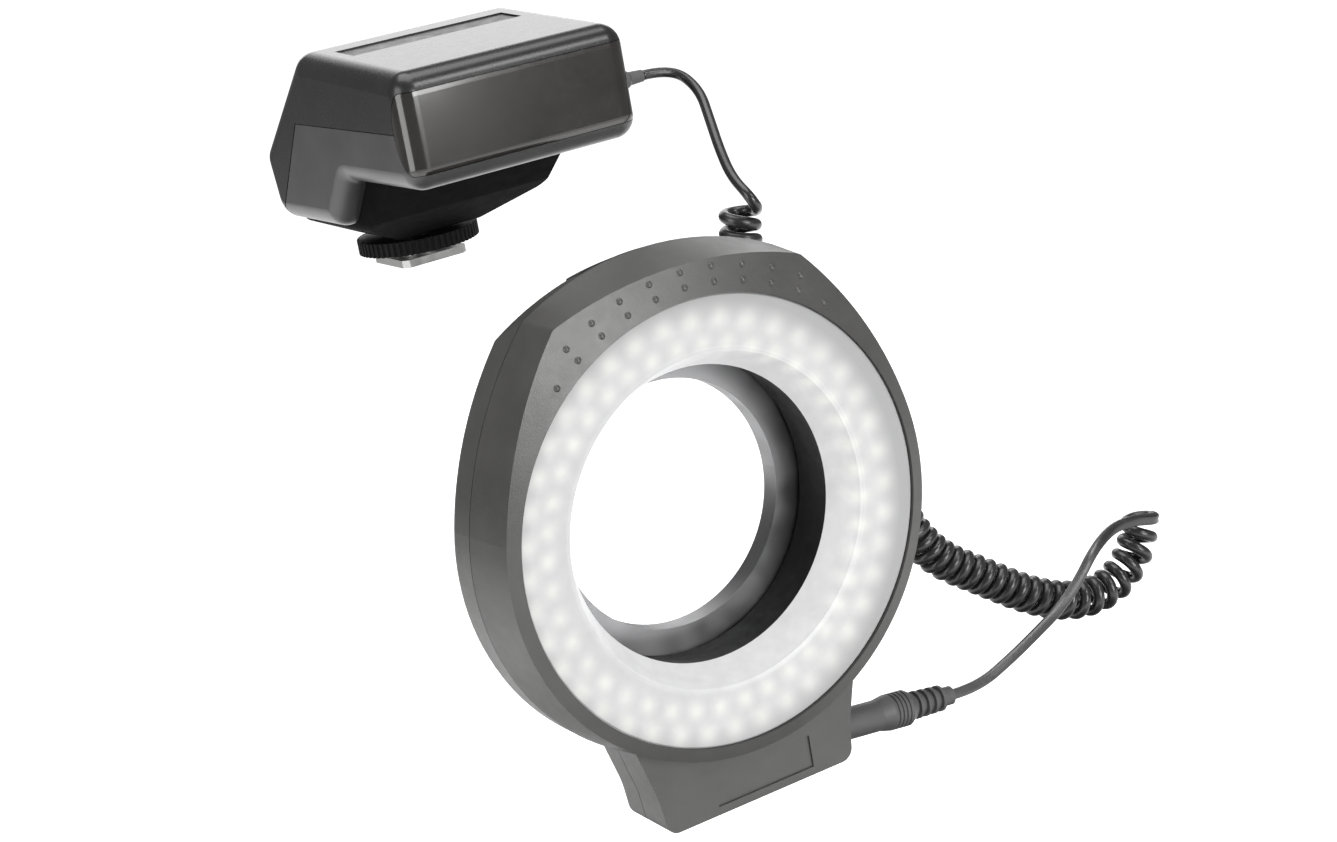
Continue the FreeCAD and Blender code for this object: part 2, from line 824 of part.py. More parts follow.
def adapter_ring():
    plate_front = s.casing_depth + s.adapter_gap
    lip_front = groove_front_depth - s.spigot_lip
    groove_floor = s.spigot_outer_radius - s.groove_depth
    corners = [
        (s.thread_bore_radius, plate_front),
        (s.spigot_inner_radius, plate_front),
        (s.spigot_inner_radius, lip_front),
        (s.spigot_outer_radius, lip_front),
        (s.spigot_outer_radius, groove_front_depth),
        (groove_floor, groove_front_depth),
        (groove_floor, groove_rear_depth),
        (s.spigot_outer_radius, groove_rear_depth),
        (s.spigot_outer_radius, plate_front),
        (s.adapter_plate_radius, plate_front),
        (s.adapter_plate_radius, seat_depth),
        (s.thread_radius, seat_depth),
        (s.thread_radius, seat_depth + s.thread_length),
        (s.thread_bore_radius, seat_depth + s.thread_length),
    ]
    return revolve_body("adapter_ring", corners, RING)


def light_board():
    corners = [
        (s.board_inner_radius, s.board_front_depth),
        (s.board_outer_radius, s.board_front_depth),
        (s.board_outer_radius, board_rear_depth),
        (s.board_inner_radius, board_rear_depth),
    ]
    return revolve_body("light_board", corners, RING)


def led_row(name, ring, start_angle):
    """A row of round LEDs. Each is an eight-sided bullet that stands on the board."""
    sides = 8
    base = float(s.board_front_depth)
    tip = base - float(s.led_length)
    shoulder = tip + float(s.led_radius)

    def eight(radius, depth):
        points = []
        for index in range(sides + 1):
            angle = 2 * math.pi * index / sides
            points.append(V(float(ring) + radius * math.cos(angle), depth, radius * math.sin(angle)))
        return Part.makePolygon(points)

    full = float(s.led_radius)
    bullet = Part.makeLoft([eight(full, base), eight(full, shoulder), eight(full * 0.45, tip)], True, True)
    copies = []
    for index in range(LED_COUNT):
        led = bullet.copy()
        led.rotate(V(0, 0, 0), V(0, -1, 0), float(start_angle) + 360.0 * index / LED_COUNT)
        copies.append(led)
    return keep(name, Part.makeCompound(copies), RING)


def latch_plate():
    """A flat ring plate. Its hole sits high, so the rim's lower edge holds the adapter's groove."""
    depth = float(latch_front_depth)
    back = depth + float(s.latch_thickness)
    lift = float(s.latch_lift)
    rim = rod(s.latch_rim_radius, V(0, depth, lift), V(0, back, lift))
    half = s.latch_stem_width / 2
    stem = box(-half, half, depth, back, s.latch_hole_radius, button_floor)
    hole = rod(s.latch_hole_radius, V(0, depth - PAST, lift), V(0, back + PAST, lift))
    return keep("latch_plate", rim.fuse(stem).cut(hole).removeSplitter(), RING)


def release_button():
    """The button lies in the rear slope of the crown; its rear face is grooved for the thumb."""
    half = s.button_width / 2
    block = box(-half, half, s.button_front_depth, s.button_rear_depth, button_floor, above_crown)
    block = block.common(casing_block(s.seam_depth, s.button_rear_depth + PAST, -s.button_proud))
    edges = []
    for edge in block.Edges:
        room = edge.BoundBox
        if room.ZMax > float(button_floor) + 1 and room.YMax > float(s.button_rear_depth) - 0.01:
            edges.append(edge)
    block = block.makeFillet(float(s.button_edge_round), edges)
    for step in range(BUTTON_GROOVES):
        x = s.button_rib_pitch * (step - (BUTTON_GROOVES - 1) / 2)
        block = block.cut(box(x - s.button_rib_groove / 2, x + s.button_rib_groove / 2,
                              s.button_rear_depth - s.button_rib_depth, s.button_rear_depth + PAST,
                              button_floor + s.button_height / 4, above_crown))
    return keep("release_button", block, RING)


def pressed_spring(centre, floor, ceiling, radius, wire, turns):
    """A compression spring with flat ends, wound as one tube on half-turn arcs."""
    path_points = []
    steps = int(turns * 4)
    low = floor + wire / 2
    high = ceiling - wire / 2
    for index in range(steps + 1):
        share = index / steps
        angle = 2 * math.pi * turns * share
        path_points.append((angle, low + (high - low) * share))
    rise = (high - low) / (2 * math.pi * turns)

    def place(angle, height):
        return centre + V(radius * math.cos(angle), radius * math.sin(angle), height)

    def heading(angle):
        return V(-radius * math.sin(angle), radius * math.cos(angle), rise).normalize()

    edges = []
    for (first, low_height), (last, high_height) in zip(path_points, path_points[1:]):
        edges.extend(biarc(place(first, low_height), heading(first), place(last, high_height), heading(last)))
    return tube_on(edges, wire / 2)


def biarc(start, start_way, end, end_way):
    """Two tangent arcs from one point and direction to another."""
    span = end - start
    ways = start_way + end_way
    a = 2 * (1 - start_way.dot(end_way))
    b = 2 * span.dot(ways)
    c = -span.dot(span)
    if abs(a) < 1e-9:
        reach = -c / b
    else:
        reach = (-b + math.sqrt(b * b - 4 * a * c)) / (2 * a)
    first_corner = start + start_way * reach
    last_corner = end - end_way * reach
    middle = (first_corner + last_corner) * 0.5
    return [arc_at_corner(start, first_corner, middle), arc_at_corner(middle, last_corner, end)]


def arc_at_corner(start, corner, end):
    """The arc from start to end that is tangent to both legs of the corner."""
    chord = (end - start) * 0.5
    centre = start + chord
    toward = corner - centre
    half = chord.Length
    if toward.Length < 1e-7:
        return Part.LineSegment(start, end).toShape()
    bow = half * math.tan(math.atan2(toward.Length, half) / 2)
    return Part.Arc(start, centre + toward.normalize() * bow, end).toShape()


def tube_on(edges, radius):
    """A round tube swept along a chain of edges."""
    path = Part.Wire(edges)
    first = edges[0]
    start = first.valueAt(first.FirstParameter)
    way = first.tangentAt(first.FirstParameter)
    ring = Part.Wire([Part.Circle(start, way, radius).toShape()])
    return path.makePipeShell([ring], True, False)


def release_springs():
    coils = []
    depth = float(board_rear_depth + rear_wall_depth) / 2
    for side in (-1, 1):
        centre = V(side * float(s.spring_centre_x), depth, 0)
        coils.append(pressed_spring(centre, float(s.spring_seat_height), float(button_floor),
                                    float(s.spring_radius), float(s.spring_wire), float(s.spring_turns)))
    return keep("release_springs", Part.makeCompound(coils), RING)


def ring_screws():
    screws = []
    for x, z in ring_screw_places():
        seat = vec(x, screw_seat_depth, z)
        shank = rod(s.screw_radius, seat - vec(0, s.screw_length, 0), seat)
        head = rod(s.screw_head_radius, seat, seat + vec(0, s.screw_head_height, 0))
        screws.append(shank.fuse(head).removeSplitter())
    return keep("ring_screws", Part.makeCompound(screws), RING)


# Power socket and the plug in it

def power_socket():
    back = socket_face - socket_way * float(s.socket_length)
    barrel = rod(s.socket_radius, back, socket_face)
    depth = float(s.plug_tip_length) + 0.6
    bore = rod(s.socket_bore_radius, socket_face - socket_way * depth, socket_face + socket_way)
    pin = rod(s.socket_pin_radius, back + socket_way, socket_face - socket_way * 1.0)
    tail = box(float(back.x) - 4, float(back.x) + 1, float(back.y) - 4, float(back.y) + 4,
               float(back.z) - 3.2, float(back.z) + 4)
    return keep("power_socket", barrel.fuse(tail).cut(bore).fuse(pin).removeSplitter(), RING)


plug_start = socket_face + socket_way * float(s.plug_gap)
plug_end = plug_start + socket_way * float(s.plug_length)
boot_end = plug_end + socket_way * float(s.plug_boot_length)


def plug():
    """A moulded barrel that swells toward the cord, with fine grip grooves on the swell."""
    length = s.plug_length
    swell = s.plug_swell_radius
    floor = swell - s.plug_groove_depth
    slant = s.plug_groove_depth / 2
    outline = [
        (0.0, 0.0),
        (0.0, s.plug_radius - s.plug_edge),
        (s.plug_edge, s.plug_radius),
        (length - s.plug_swell_start, s.plug_radius),
        (length - s.plug_swell_full, swell),
    ]
    for index in range(PLUG_GROOVES):
        along = length - s.plug_swell_full + s.plug_groove_first + s.plug_groove_pitch * index
        end = along + s.plug_groove_width
        outline += [(along, swell), (along + slant, floor), (end - slant, floor), (end, swell)]
    outline += [
        (length - s.plug_shoulder_length, swell),
        (length - s.plug_shoulder_length / 3, s.plug_neck_radius + s.plug_edge),
        (length, s.plug_neck_radius),
        (length, 0.0),
    ]
    return keep("plug", turned(outline, plug_start, socket_way), RING)


def plug_tip():
    inner_end = plug_start - socket_way * float(s.plug_tip_length + s.plug_gap - 0.2)
    sleeve = rod(s.plug_tip_radius, inner_end, plug_start)
    bore = rod(s.plug_tip_bore_radius, inner_end - socket_way, plug_start - socket_way * 0.6)
    return keep("plug_tip", sleeve.cut(bore), RING)


def plug_boot():
    """The ribbed strain relief behind the plug."""
    neck = s.boot_neck_radius
    rib = s.boot_rib_radius
    slope = s.boot_rib_slope
    outline = [(0.0, 0.0), (0.0, neck)]
    for index in range(BOOT_RIBS):
        along = s.boot_rib_first + s.boot_rib_pitch * index
        end = along + s.boot_rib_width
        slim = s.boot_taper * index
        outline += [(along, neck - slim), (along + slope, rib - slim), (end - slope, rib - slim), (end, neck - slim)]
    last = s.boot_rib_first + s.boot_rib_pitch * BOOT_RIBS
    outline += [
        (last, neck - s.boot_taper * BOOT_RIBS),
        (last + slope, s.boot_end_radius),
        (s.plug_boot_length - slope, s.boot_end_radius),
        (s.plug_boot_length, s.cord_diameter / 2 + slope),
        (s.plug_boot_length, 0.0),
    ]
    return keep("plug_boot", turned(outline, plug_end, socket_way), RING)


# Cord. Points are in the ring head's frame: across, depth, height. They are chosen by hand.

LEAD_POINTS = [
    (48.8, 72.0, 90.6),
    (51.8, 65.5, 85.0),
    (47.6, 56.0, 78.3),
    (44.3, 48.5, 72.5),
    (42.3, 42.0, 66.6),
]
COIL_AXIS = [
    (43.4, 42.0, 58.4),
    (41.5, 42.0, 51.0),
    (42.5, 41.2, 42.0),
    (47.5, 39.5, 31.0),
    (57.0, 38.0, 18.5),
    (65.0, 38.0, 5.0),
    (69.0, 37.8, -9.5),
    (70.8, 36.8, -24.0),
    (77.5, 33.5, -38.5),
    (90.5, 31.3, -49.8),
    (104.0, 30.3, -59.0),
    (117.5, 30.2, -66.2),
    (130.0, 30.0, -66.8),
    (138.6, 29.5, -61.2),
    (142.0, 28.8, -53.0),
    (141.6, 28.5, -47.6),
]
TAIL_POINTS = [
    (84.2, 14.8, -66.3),
    (94.0, 16.0, -63.2),
    (103.0, 17.2, -59.8),
    (111.0, 18.2, -54.4),
    (118.6, 19.6, -47.6),
    (127.5, 22.2, -44.9),
]
HOOK_RUN = 3.6
COIL_WHOLE_TURNS = 47
STRETCH = 0.32
STRETCHED_PLACE = 0.22
STRETCHED_REACH = 0.26
COIL_START_PHASE = -32.0
COIL_END_FACING = V(0.1, -1.0, 0.0)
OPEN_TURN_PITCH = 1.5
OPEN_LENGTH = 44.0


def round_route(points, name):
    """Straight runs joined by tangent arcs; each radius follows the shorter run beside its corner."""
    pieces = []
    radii = []
    start = points[0]
    for index in range(1, len(points) - 1):
        here = points[index]
        back = points[index - 1] - here
        ahead = points[index + 1] - here
        turn = math.pi - back.getAngle(ahead)
        run = min(back.Length, ahead.Length)
        radius = 0.45 * run / math.tan(turn / 2)
        reach = radius * math.tan(turn / 2)
        arc_start = here + back.normalize() * reach
        arc_end = here + ahead.normalize() * reach
        pieces.append(Part.LineSegment(start, arc_start).toShape())
        pieces.append(arc_at_corner(arc_start, here, arc_end))
        radii.append(radius)
        start = arc_end
    pieces.append(Part.LineSegment(start, points[-1]).toShape())
    print(name, "arc radii:", " ".join("%.1f" % radius for radius in radii))
    return pieces


def along_route(pieces, distance):
    """The point and direction at a distance along a chain of edges."""
    for edge in pieces:
        if distance <= edge.Length or edge is pieces[-1]:
            parameter = edge.getParameterByLength(min(distance, edge.Length))
            return edge.valueAt(parameter), edge.tangentAt(parameter)
        distance -= edge.Length
    return None


def coil_stations(fine):
    """Points of the strand, so many to a turn, wound left-handed about the coil's axis."""
    route = round_route([V(*point) for point in COIL_AXIS], "coil axis")
    length = sum(edge.Length for edge in route)
    opening = length - OPEN_LENGTH
    samples = 900
    places = []
    weights = [0.0]
    side = None
    last_way = None
    for index in range(samples + 1):
        distance = length * index / samples
        point, way = along_route(route, distance)
        if side is None:
            phase = math.radians(COIL_START_PHASE)
            side = V(math.cos(phase), math.sin(phase), 0)
        else:
            turn = FreeCAD.Rotation(last_way, way)
            side = turn.multVec(side)
        side = (side - way * side.dot(way)).normalize()
        last_way = way
        places.append((point, way, side))
        bulge = (distance / length - STRETCHED_PLACE) / STRETCHED_REACH
        hidden = 1.0 / (1.0 + STRETCH * math.exp(-bulge ** 2))
        share = max(0.0, (distance - opening) / (length - opening))
        density = hidden / (1.0 + (OPEN_TURN_PITCH - 1.0) * min(1.0, share * 1.4))
        if index:
            weights.append(weights[-1] + density)
    total = weights[-1]
    way, side = places[-1][1:]
    facing = math.atan2(COIL_END_FACING.dot(way.cross(side)), COIL_END_FACING.dot(side))
    turns = COIL_WHOLE_TURNS + (-facing / (2 * math.pi)) % 1.0
    steps = int(round(turns * fine))
    stations = []
    cursor = 0
    for step in range(steps + 1):
        target = total * step / steps
        while cursor < samples - 1 and weights[cursor + 1] < target:
            cursor += 1
        span = weights[cursor + 1] - weights[cursor]
        share = (target - weights[cursor]) / span
        first, second = places[cursor], places[cursor + 1]
        point = first[0] + (second[0] - first[0]) * share
        way = (first[1] + (second[1] - first[1]) * share).normalize()
        side = first[2] + (second[2] - first[2]) * share
        side = (side - way * side.dot(way)).normalize()
        angle = -2 * math.pi * turns * step / steps
        across = way.cross(side)
        out = side * math.cos(angle) + across * math.sin(angle)
        stations.append(point + out * float(s.curl_radius))
    return stations


def coil_path():
    """The strand of the curls, as points a quarter turn apart with their directions."""
    fine = 16
    stations = coil_stations(fine)
    points = []
    ways = []
    stride = fine // 4
    last = len(stations) - 1
    picks = list(range(0, last, stride))
    if last - picks[-1] < stride / 2:
        picks.pop()
    picks.append(last)
    for index in picks:
        before = stations[max(index - 1, 0)]
        after = stations[min(index + 1, last)]
        points.append(stations[index])
        if 0 < index < last:
            way = (after - before).normalize()
        elif index == 0:
            way = (stations[1] * 4 - stations[0] * 3 - stations[2]).normalize()
        else:
            way = (stations[last] * 3 - stations[last - 1] * 4 + stations[last - 2]).normalize()
        ways.append(way)
    return points, ways, stations


coil_points, coil_ways, coil_fine = coil_path()
coil_lead_in = coil_points[0] - coil_ways[0] * float(s.cord_diameter)
coil_lead_out = coil_points[-1] + coil_ways[-1] * float(s.cord_diameter)


def least_gap(stations, radius):
    """The least space between strands that are half a turn or more apart along the coil."""
    apart = 10
    least = 1e9
    for index, point in enumerate(stations):
        for other in range(index + apart, min(index + apart + 30, len(stations))):
            least = min(least, (stations[other] - point).Length)
    return least - 2 * radius


def cord_coil():
    edges = [Part.LineSegment(coil_lead_in, coil_points[0]).toShape()]
    for index in range(len(coil_points) - 1):
        edges.extend(biarc(coil_points[index], coil_ways[index], coil_points[index + 1], coil_ways[index + 1]))
    edges.append(Part.LineSegment(coil_points[-1], coil_lead_out).toShape())
    radius = float(s.cord_diameter) / 2
    print("coil: least gap to itself %.2f mm, strand %.0f mm" %
          (least_gap(coil_fine, radius), sum(edge.Length for edge in edges)))
    return keep("cord_coil", tube_on(edges, radius), RING)


def cord_stretch(name, points):
    edges = round_route(points, name)
    radius = float(s.cord_diameter) / 2
    tube = tube_on(edges, radius)
    length = sum(edge.Length for edge in edges)
    print("%s: length %.1f mm, volume over section x length %.4f" %
          (name, length, tube.Volume / (math.pi * radius ** 2 * length)))
    return keep(name, tube, RING)


lead_exit = vec(s.unit_half_width + s.boot_length, s.unit_behind - boot_ahead, s.unit_above + s.boot_height)


def cord_lead():
    points = [lead_exit] + [V(*point) for point in LEAD_POINTS]
    hook_end = coil_lead_in - coil_ways[0] * HOOK_RUN
    down = (hook_end - points[-1]).normalize()
    middle = (down + coil_ways[0]).normalize()
    points += [hook_end - middle * HOOK_RUN, hook_end, coil_lead_in]
    return cord_stretch("cord_lead", points)


def cord_tail():
    points = [boot_end, boot_end + socket_way * 8.4]
    points += [V(*point) for point in TAIL_POINTS]
    points += [coil_lead_out + coil_ways[-1] * 5.0, coil_lead_out]
    return cord_stretch("cord_tail", points)


# Control unit: outer form and the cuts that divide it

def unit_outline(x, inset=0.0):
    round_top = 7.0
    round_small = 5.6
    corners = [
        (-s.unit_front_reach, s.unit_front_bottom, round_small),
        (-s.unit_front_reach, s.unit_front_top, round_small),
        (-s.unit_top_rear_ahead, s.unit_top_rear_height, round_top),
        (s.unit_tail_behind, s.unit_tail_height, round_small),
        (s.unit_heel_behind, s.unit_bottom_height, 6.5),
        (-s.unit_step_ahead, s.unit_bottom_height, round_small),
        (-s.unit_step_top_ahead, s.unit_front_bottom, 4.0),
    ]
    return rounded_outline(corners, lambda u, v: V(float(x), u, v))


def unit_form():
    half = float(s.unit_half_width)
    solid = Part.Face(unit_outline(-half)).extrude(V(2 * half, 0, 0))
    rims = []
    for edge in solid.Edges:
        if abs(edge.BoundBox.XMax - edge.BoundBox.XMin) < 1e-4:
            rims.append(edge)
    return solid.makeFillet(float(s.unit_edge_round), rims)


def unit_hollow(wall):
    half = float(s.unit_half_width) - wall
    face = Part.Face(unit_outline(-half))
    face = face.makeOffset2D(-wall)
    return face.extrude(V(2 * half, 0, 0))


def upper_side(gap):
    """The space above and behind the side seam, drawn back by a gap."""
    lift = float(s.unit_seam_height) + gap
    rear_run = float(s.unit_tail_behind + s.unit_top_rear_ahead)
    rear_drop = float(s.unit_top_rear_height - s.unit_tail_height)
    slope = rear_drop / rear_run
    corner = -float(s.unit_seam_corner_ahead)
    side = gap * math.sqrt(1 + slope * slope) / slope
    reach = 60.0
    points = [
        V(0, -120, lift),
        V(0, corner + side, lift),
        V(0, corner + side + reach, lift - slope * reach * 1.55),
        V(0, 120, lift - slope * reach * 1.55),
        V(0, 120, 120),
        V(0, -120, 120),
    ]
    face = Part.Face(Part.makePolygon(points + points[:1]))
    face.translate(V(-60, 0, 0))
    return face.extrude(V(120, 0, 0))


def panel_zone(gap):
    """The space that the front panel takes, with its bulging side seam."""
    front = -float(s.unit_front_reach)
    low = float(s.panel_bottom) - gap
    high = float(s.panel_top) + gap
    reach = front + float(s.panel_side_reach) + gap
    bulge = front + float(s.panel_side_bulge) + gap
    edges = [
        Part.LineSegment(V(0, front - 10, low), V(0, reach, low)).toShape(),
        Part.Arc(V(0, reach, low), V(0, bulge, (low + high) / 2), V(0, reach, high)).toShape(),
        Part.LineSegment(V(0, reach, high), V(0, front - 10, high)).toShape(),
        Part.LineSegment(V(0, front - 10, high), V(0, front - 10, low)).toShape(),
    ]
    face = Part.Face(Part.Wire(edges))
    face.translate(V(-60, 0, 0))
    return face.extrude(V(120, 0, 0))


def cell_centres():
    ahead = float(s.cell_upper_ahead)
    high = float(s.cell_upper_height)
    spacing = float(s.cell_spacing)
    shift = float(s.cell_row_shift)
    low = high - float(s.cell_row_drop)
    return [(-ahead, high), (-ahead + spacing, high), (-ahead + shift + spacing, low), (-ahead + shift, low)]


def cell_outline(radius, x0, x1):
    """A prism round the four cells: their centres' outline grown by a radius."""
    points = [V(float(x0), y, z) for y, z in cell_centres()]
    face = Part.Face(Part.makePolygon(points + points[:1]))
    face = face.makeOffset2D(float(radius))
    return face.extrude(V(float(x1) - float(x0), 0, 0))


door_inner_x = s.unit_half_width - s.door_thickness
opening_radius = s.cell_radius + s.door_opening_clearance
door_radius = opening_radius + s.door_lip
hinge_x = s.unit_half_width - s.hinge_ear_radius
door_bottom = s.cell_upper_height - s.cell_row_drop - door_radius
hinge_height = door_bottom + s.hinge_ear_radius
lower_row_start = s.cell_row_shift - s.cell_upper_ahead
lower_row_end = lower_row_start + s.cell_spacing
ear_places = (lower_row_start + s.hinge_ear_inset, lower_row_end - s.hinge_ear_inset)

slope_run = float(s.unit_tail_behind + s.unit_top_rear_ahead)
slope_drop = float(s.unit_top_rear_height - s.unit_tail_height)
rear_tilt = math.degrees(math.atan2(slope_drop, slope_run))
rear_middle = V(0, -float(s.unit_top_rear_ahead) + slope_run / 2, float(s.unit_top_rear_height) - slope_drop / 2)
REAR = FreeCAD.Placement(rear_middle, FreeCAD.Rotation(V(1, 0, 0), -rear_tilt))

top_run = float(s.unit_front_reach - s.unit_top_rear_ahead)
top_tilt = math.degrees(math.atan2(float(s.unit_top_rear_height - s.unit_front_top), top_run))
band_share = float(s.unit_front_reach - s.band_front_ahead) / top_run
band_height = float(s.unit_front_top) + float(s.unit_top_rear_height - s.unit_front_top) * band_share
TOP = FreeCAD.Placement(V(0, -float(s.band_front_ahead), band_height), FreeCAD.Rotation(V(1, 0, 0), top_tilt))

shell_floor = s.unit_wall + s.unit_bottom_height
front_floor = s.unit_front_bottom + s.unit_wall
front_screw_ahead = s.unit_front_reach - s.unit_screw_behind_front
unit_screws = []
for side in (1, -1):
    unit_screws.append((float(s.unit_screw_x) * side, -float(front_screw_ahead)))
    unit_screws.append((float(s.unit_rear_screw_x) * side, float(s.unit_rear_screw_behind)))
unit_screw_top = float(s.unit_seam_height - s.unit_screw_below_seam)
rear_screw_top = float(s.unit_rear_boss_height)


def screw_heights(y):
    """The casing's underside, the seat of the head and the parting of the bosses at a screw."""
    if y < 0:
        return float(s.unit_front_bottom), float(s.unit_front_bottom + s.unit_screw_sink), unit_screw_top
    return float(s.unit_bottom_height), float(s.unit_bottom_height + s.unit_screw_sink), rear_screw_top


def screw_cut(solid):
    """Cuts the way in for every screw of the control unit, and its head's seat."""
    for x, y in unit_screws:
        bottom, seat, parting = screw_heights(y)
        solid = solid.cut(rod(s.screw_head_radius + s.screw_hole_gap, V(x, y, bottom - PAST), V(x, y, seat)))
        solid = solid.cut(rod(s.screw_radius + s.screw_hole_gap, V(x, y, seat - PAST), V(x, y, parting)))
    return solid


def placed(shape, place):
    shape = shape.copy()
    shape.Placement = place.multiply(shape.Placement)
    return shape


def door_cut(solid):
    """Cuts the opening for the cells and the rebate for the door."""
    solid = solid.cut(cell_outline(opening_radius, 20.0, s.unit_half_width + 5))
    solid = solid.cut(cell_outline(door_radius + s.door_gap, door_inner_x, s.unit_half_width + 5))
    return solid


def rear_controls_cut(solid):
    """The recess of the control plate and the slots and holes under it."""
    half = s.control_plate_width / 2
    start = s.control_plate_shift - s.control_plate_length / 2
    end = s.control_plate_shift + s.control_plate_length / 2
    recess = box(-half, half, start, end, -float(s.control_plate_recess), 10.0)
    solid = solid.cut(placed(recess, REAR))
    for tool in control_holes():
        solid = solid.cut(placed(tool, REAR))
    return solid


def control_holes():
    """Openings for the shafts and stems, in the frame of the slanted rear."""
    shift = float(s.control_plate_shift)
    tools = [rod(s.dial_shaft_radius + s.dial_clearance, vec(s.dial_x, shift, -9), vec(s.dial_x, shift, 2))]
    for row, low, high in switch_rows():
        reach = 2.0
        tools.append(box(s.switch_x - reach + low, s.switch_x + reach + high, row - 1.1, row + 1.1, -9, 2))
    tools.append(rod(s.lamp_radius, vec(s.lamp_x, shift + float(s.lamp_row), -9), vec(s.lamp_x, shift + float(s.lamp_row), 2)))
    return tools


def switch_rows():
    """Row, lowest and highest travel of the power switch and of the half selector."""
    shift = float(s.control_plate_shift)
    row = float(s.switch_row)
    travel = float(s.switch_travel)
    half = float(s.selector_travel)
    gap = 0.2
    return [(shift + row, -gap, travel + gap), (shift - row, -half - gap, half + gap)]


def upper_casing(form, hollow):
    body = form.common(upper_side(0.0)).cut(hollow).cut(panel_zone(float(s.panel_gap)))
    bosses = []
    for x, y in unit_screws:
        parting = screw_heights(y)[2]
        bosses.append(rod(s.unit_boss_radius, V(x, y, parting), vec(x, y, s.unit_top_rear_height)).common(form))
    body = screw_cut(fuse(body, bosses))
    for x, y in unit_screws:
        parting = screw_heights(y)[2]
        body = body.cut(rod(s.screw_radius, V(x, y, parting - PAST), vec(x, y, parting + s.unit_screw_grip + PAST)))
    recess = box(-s.band_half_width, s.band_half_width, 0.0, s.band_length, -s.band_recess, 5.0)
    body = body.cut(placed(recess, TOP))
    body = rear_controls_cut(door_cut(body))
    return keep("upper_casing", body, UNIT)


def lower_casing(form, hollow):
    gap = float(s.unit_seam_gap)
    body = form.cut(upper_side(-gap)).cut(hollow).cut(panel_zone(float(s.panel_gap)))
    upper_walls = form.cut(hollow).common(upper_side(-gap))
    bosses = []
    for x, y in unit_screws:
        bottom, seat, parting = screw_heights(y)
        boss = rod(s.unit_boss_radius, V(x, y, bottom + INTO), V(x, y, parting - 0.1))
        bosses.append(boss.common(form).cut(upper_walls))
    board_front = s.driver_board_behind_front - s.unit_front_reach
    for x in (-s.driver_post_x, s.driver_post_x):
        for y in (board_front + s.driver_post_inset, board_front + s.driver_board_length - s.driver_post_inset):
            bosses.append(rod(s.driver_post_radius, vec(x, y, s.unit_front_bottom + INTO),
                              vec(x, y, s.driver_board_height)))
    body = door_cut(screw_cut(fuse(body, bosses)))
    ears = []
    for middle in ear_places:
        half = s.hinge_ear_width / 2
        ears.append(rod(s.hinge_ear_radius, vec(hinge_x, middle - half, hinge_height),
                        vec(hinge_x, middle + half, hinge_height)))
        ears.append(box(hinge_x - s.hinge_ear_radius, s.unit_half_width - 0.1, middle - half, middle + half,
                        door_bottom - 0.8, hinge_height))
    body = fuse(body, ears)
    pin = rod(s.hinge_pin_radius, vec(hinge_x, lower_row_start, hinge_height),
              vec(hinge_x, lower_row_end, hinge_height))
    body = body.cut(pin)
    neck = rod(s.neck_radius, V(0, 0, -5), V(0, 0, 16))
    boot = rod(s.cord_diameter / 2 + 0.05, vec(s.unit_half_width - s.unit_wall * 2, -boot_ahead, s.boot_height),
               vec(s.unit_half_width + PAST, -boot_ahead, s.boot_height))
    return keep("lower_casing", body.cut(neck).cut(boot), UNIT)


def front_panel(form):
    inner = unit_hollow(float(s.panel_thickness))
    return keep("front_panel", form.common(panel_zone(0.0)).cut(inner), UNIT)


def top_band():
    half = s.band_half_width - 0.15
    strip = box(-half, half, 0.15, s.band_length - 0.15, -s.band_recess, s.band_thickness - s.band_recess)
    return keep("top_band", placed(strip, TOP), UNIT)


def battery_door(form):
    plate = form.common(cell_outline(door_radius, door_inner_x, s.unit_half_width + 2))
    start = lower_row_start
    end = lower_row_end
    relief_top = hinge_height + s.hinge_ear_radius + 0.25
    inside = door_inner_x - s.door_boss_length * 2
    outside = s.unit_half_width + PAST
    for low, high in ((start - 20, start), (end, end + 20)):
        plate = plate.cut(box(inside, outside, low, high, door_bottom - PAST, relief_top))
    edge_zone = box(inside, outside, start - PAST, end + PAST, door_bottom - PAST, hinge_height)
    round_edge = rod(s.hinge_ear_radius, vec(hinge_x, start, hinge_height), vec(hinge_x, end, hinge_height))
    plate = plate.cut(edge_zone).fuse(round_edge)
    boss = cell_outline(s.cell_radius - 0.3, door_inner_x - s.door_boss_length, door_inner_x + 0.2)
    plate = fuse(plate, [boss])
    for middle in ear_places:
        half = s.hinge_ear_width / 2 + 0.15
        notch = box(inside, outside, middle - half, middle + half, door_bottom - PAST, relief_top)
        plate = plate.cut(notch)
    bore = rod(s.hinge_pin_radius + s.hinge_clearance, vec(hinge_x, start - 1, hinge_height),
               vec(hinge_x, end + 1, hinge_height))
    plate = plate.cut(bore)
    grip_y, grip_z = cell_centres()[0]
    for index in range(3):
        height = grip_z - 1.5 + 1.9 * index
        groove = box(s.unit_half_width - 0.6, outside, grip_y + 2, grip_y + 14, height - 0.45, height + 0.45)
        plate = plate.cut(groove)
    return keep("battery_door", plate, UNIT)


def door_hinge_pin():
    inset = 1.0
    pin = rod(s.hinge_pin_radius, vec(hinge_x, lower_row_start + inset, hinge_height),
              vec(hinge_x, lower_row_end - inset, hinge_height))
    return keep("door_hinge_pin", pin, UNIT)


cell_right = door_inner_x - s.door_boss_length - s.contact_thickness - 0.3
cell_left = cell_right - s.cell_length


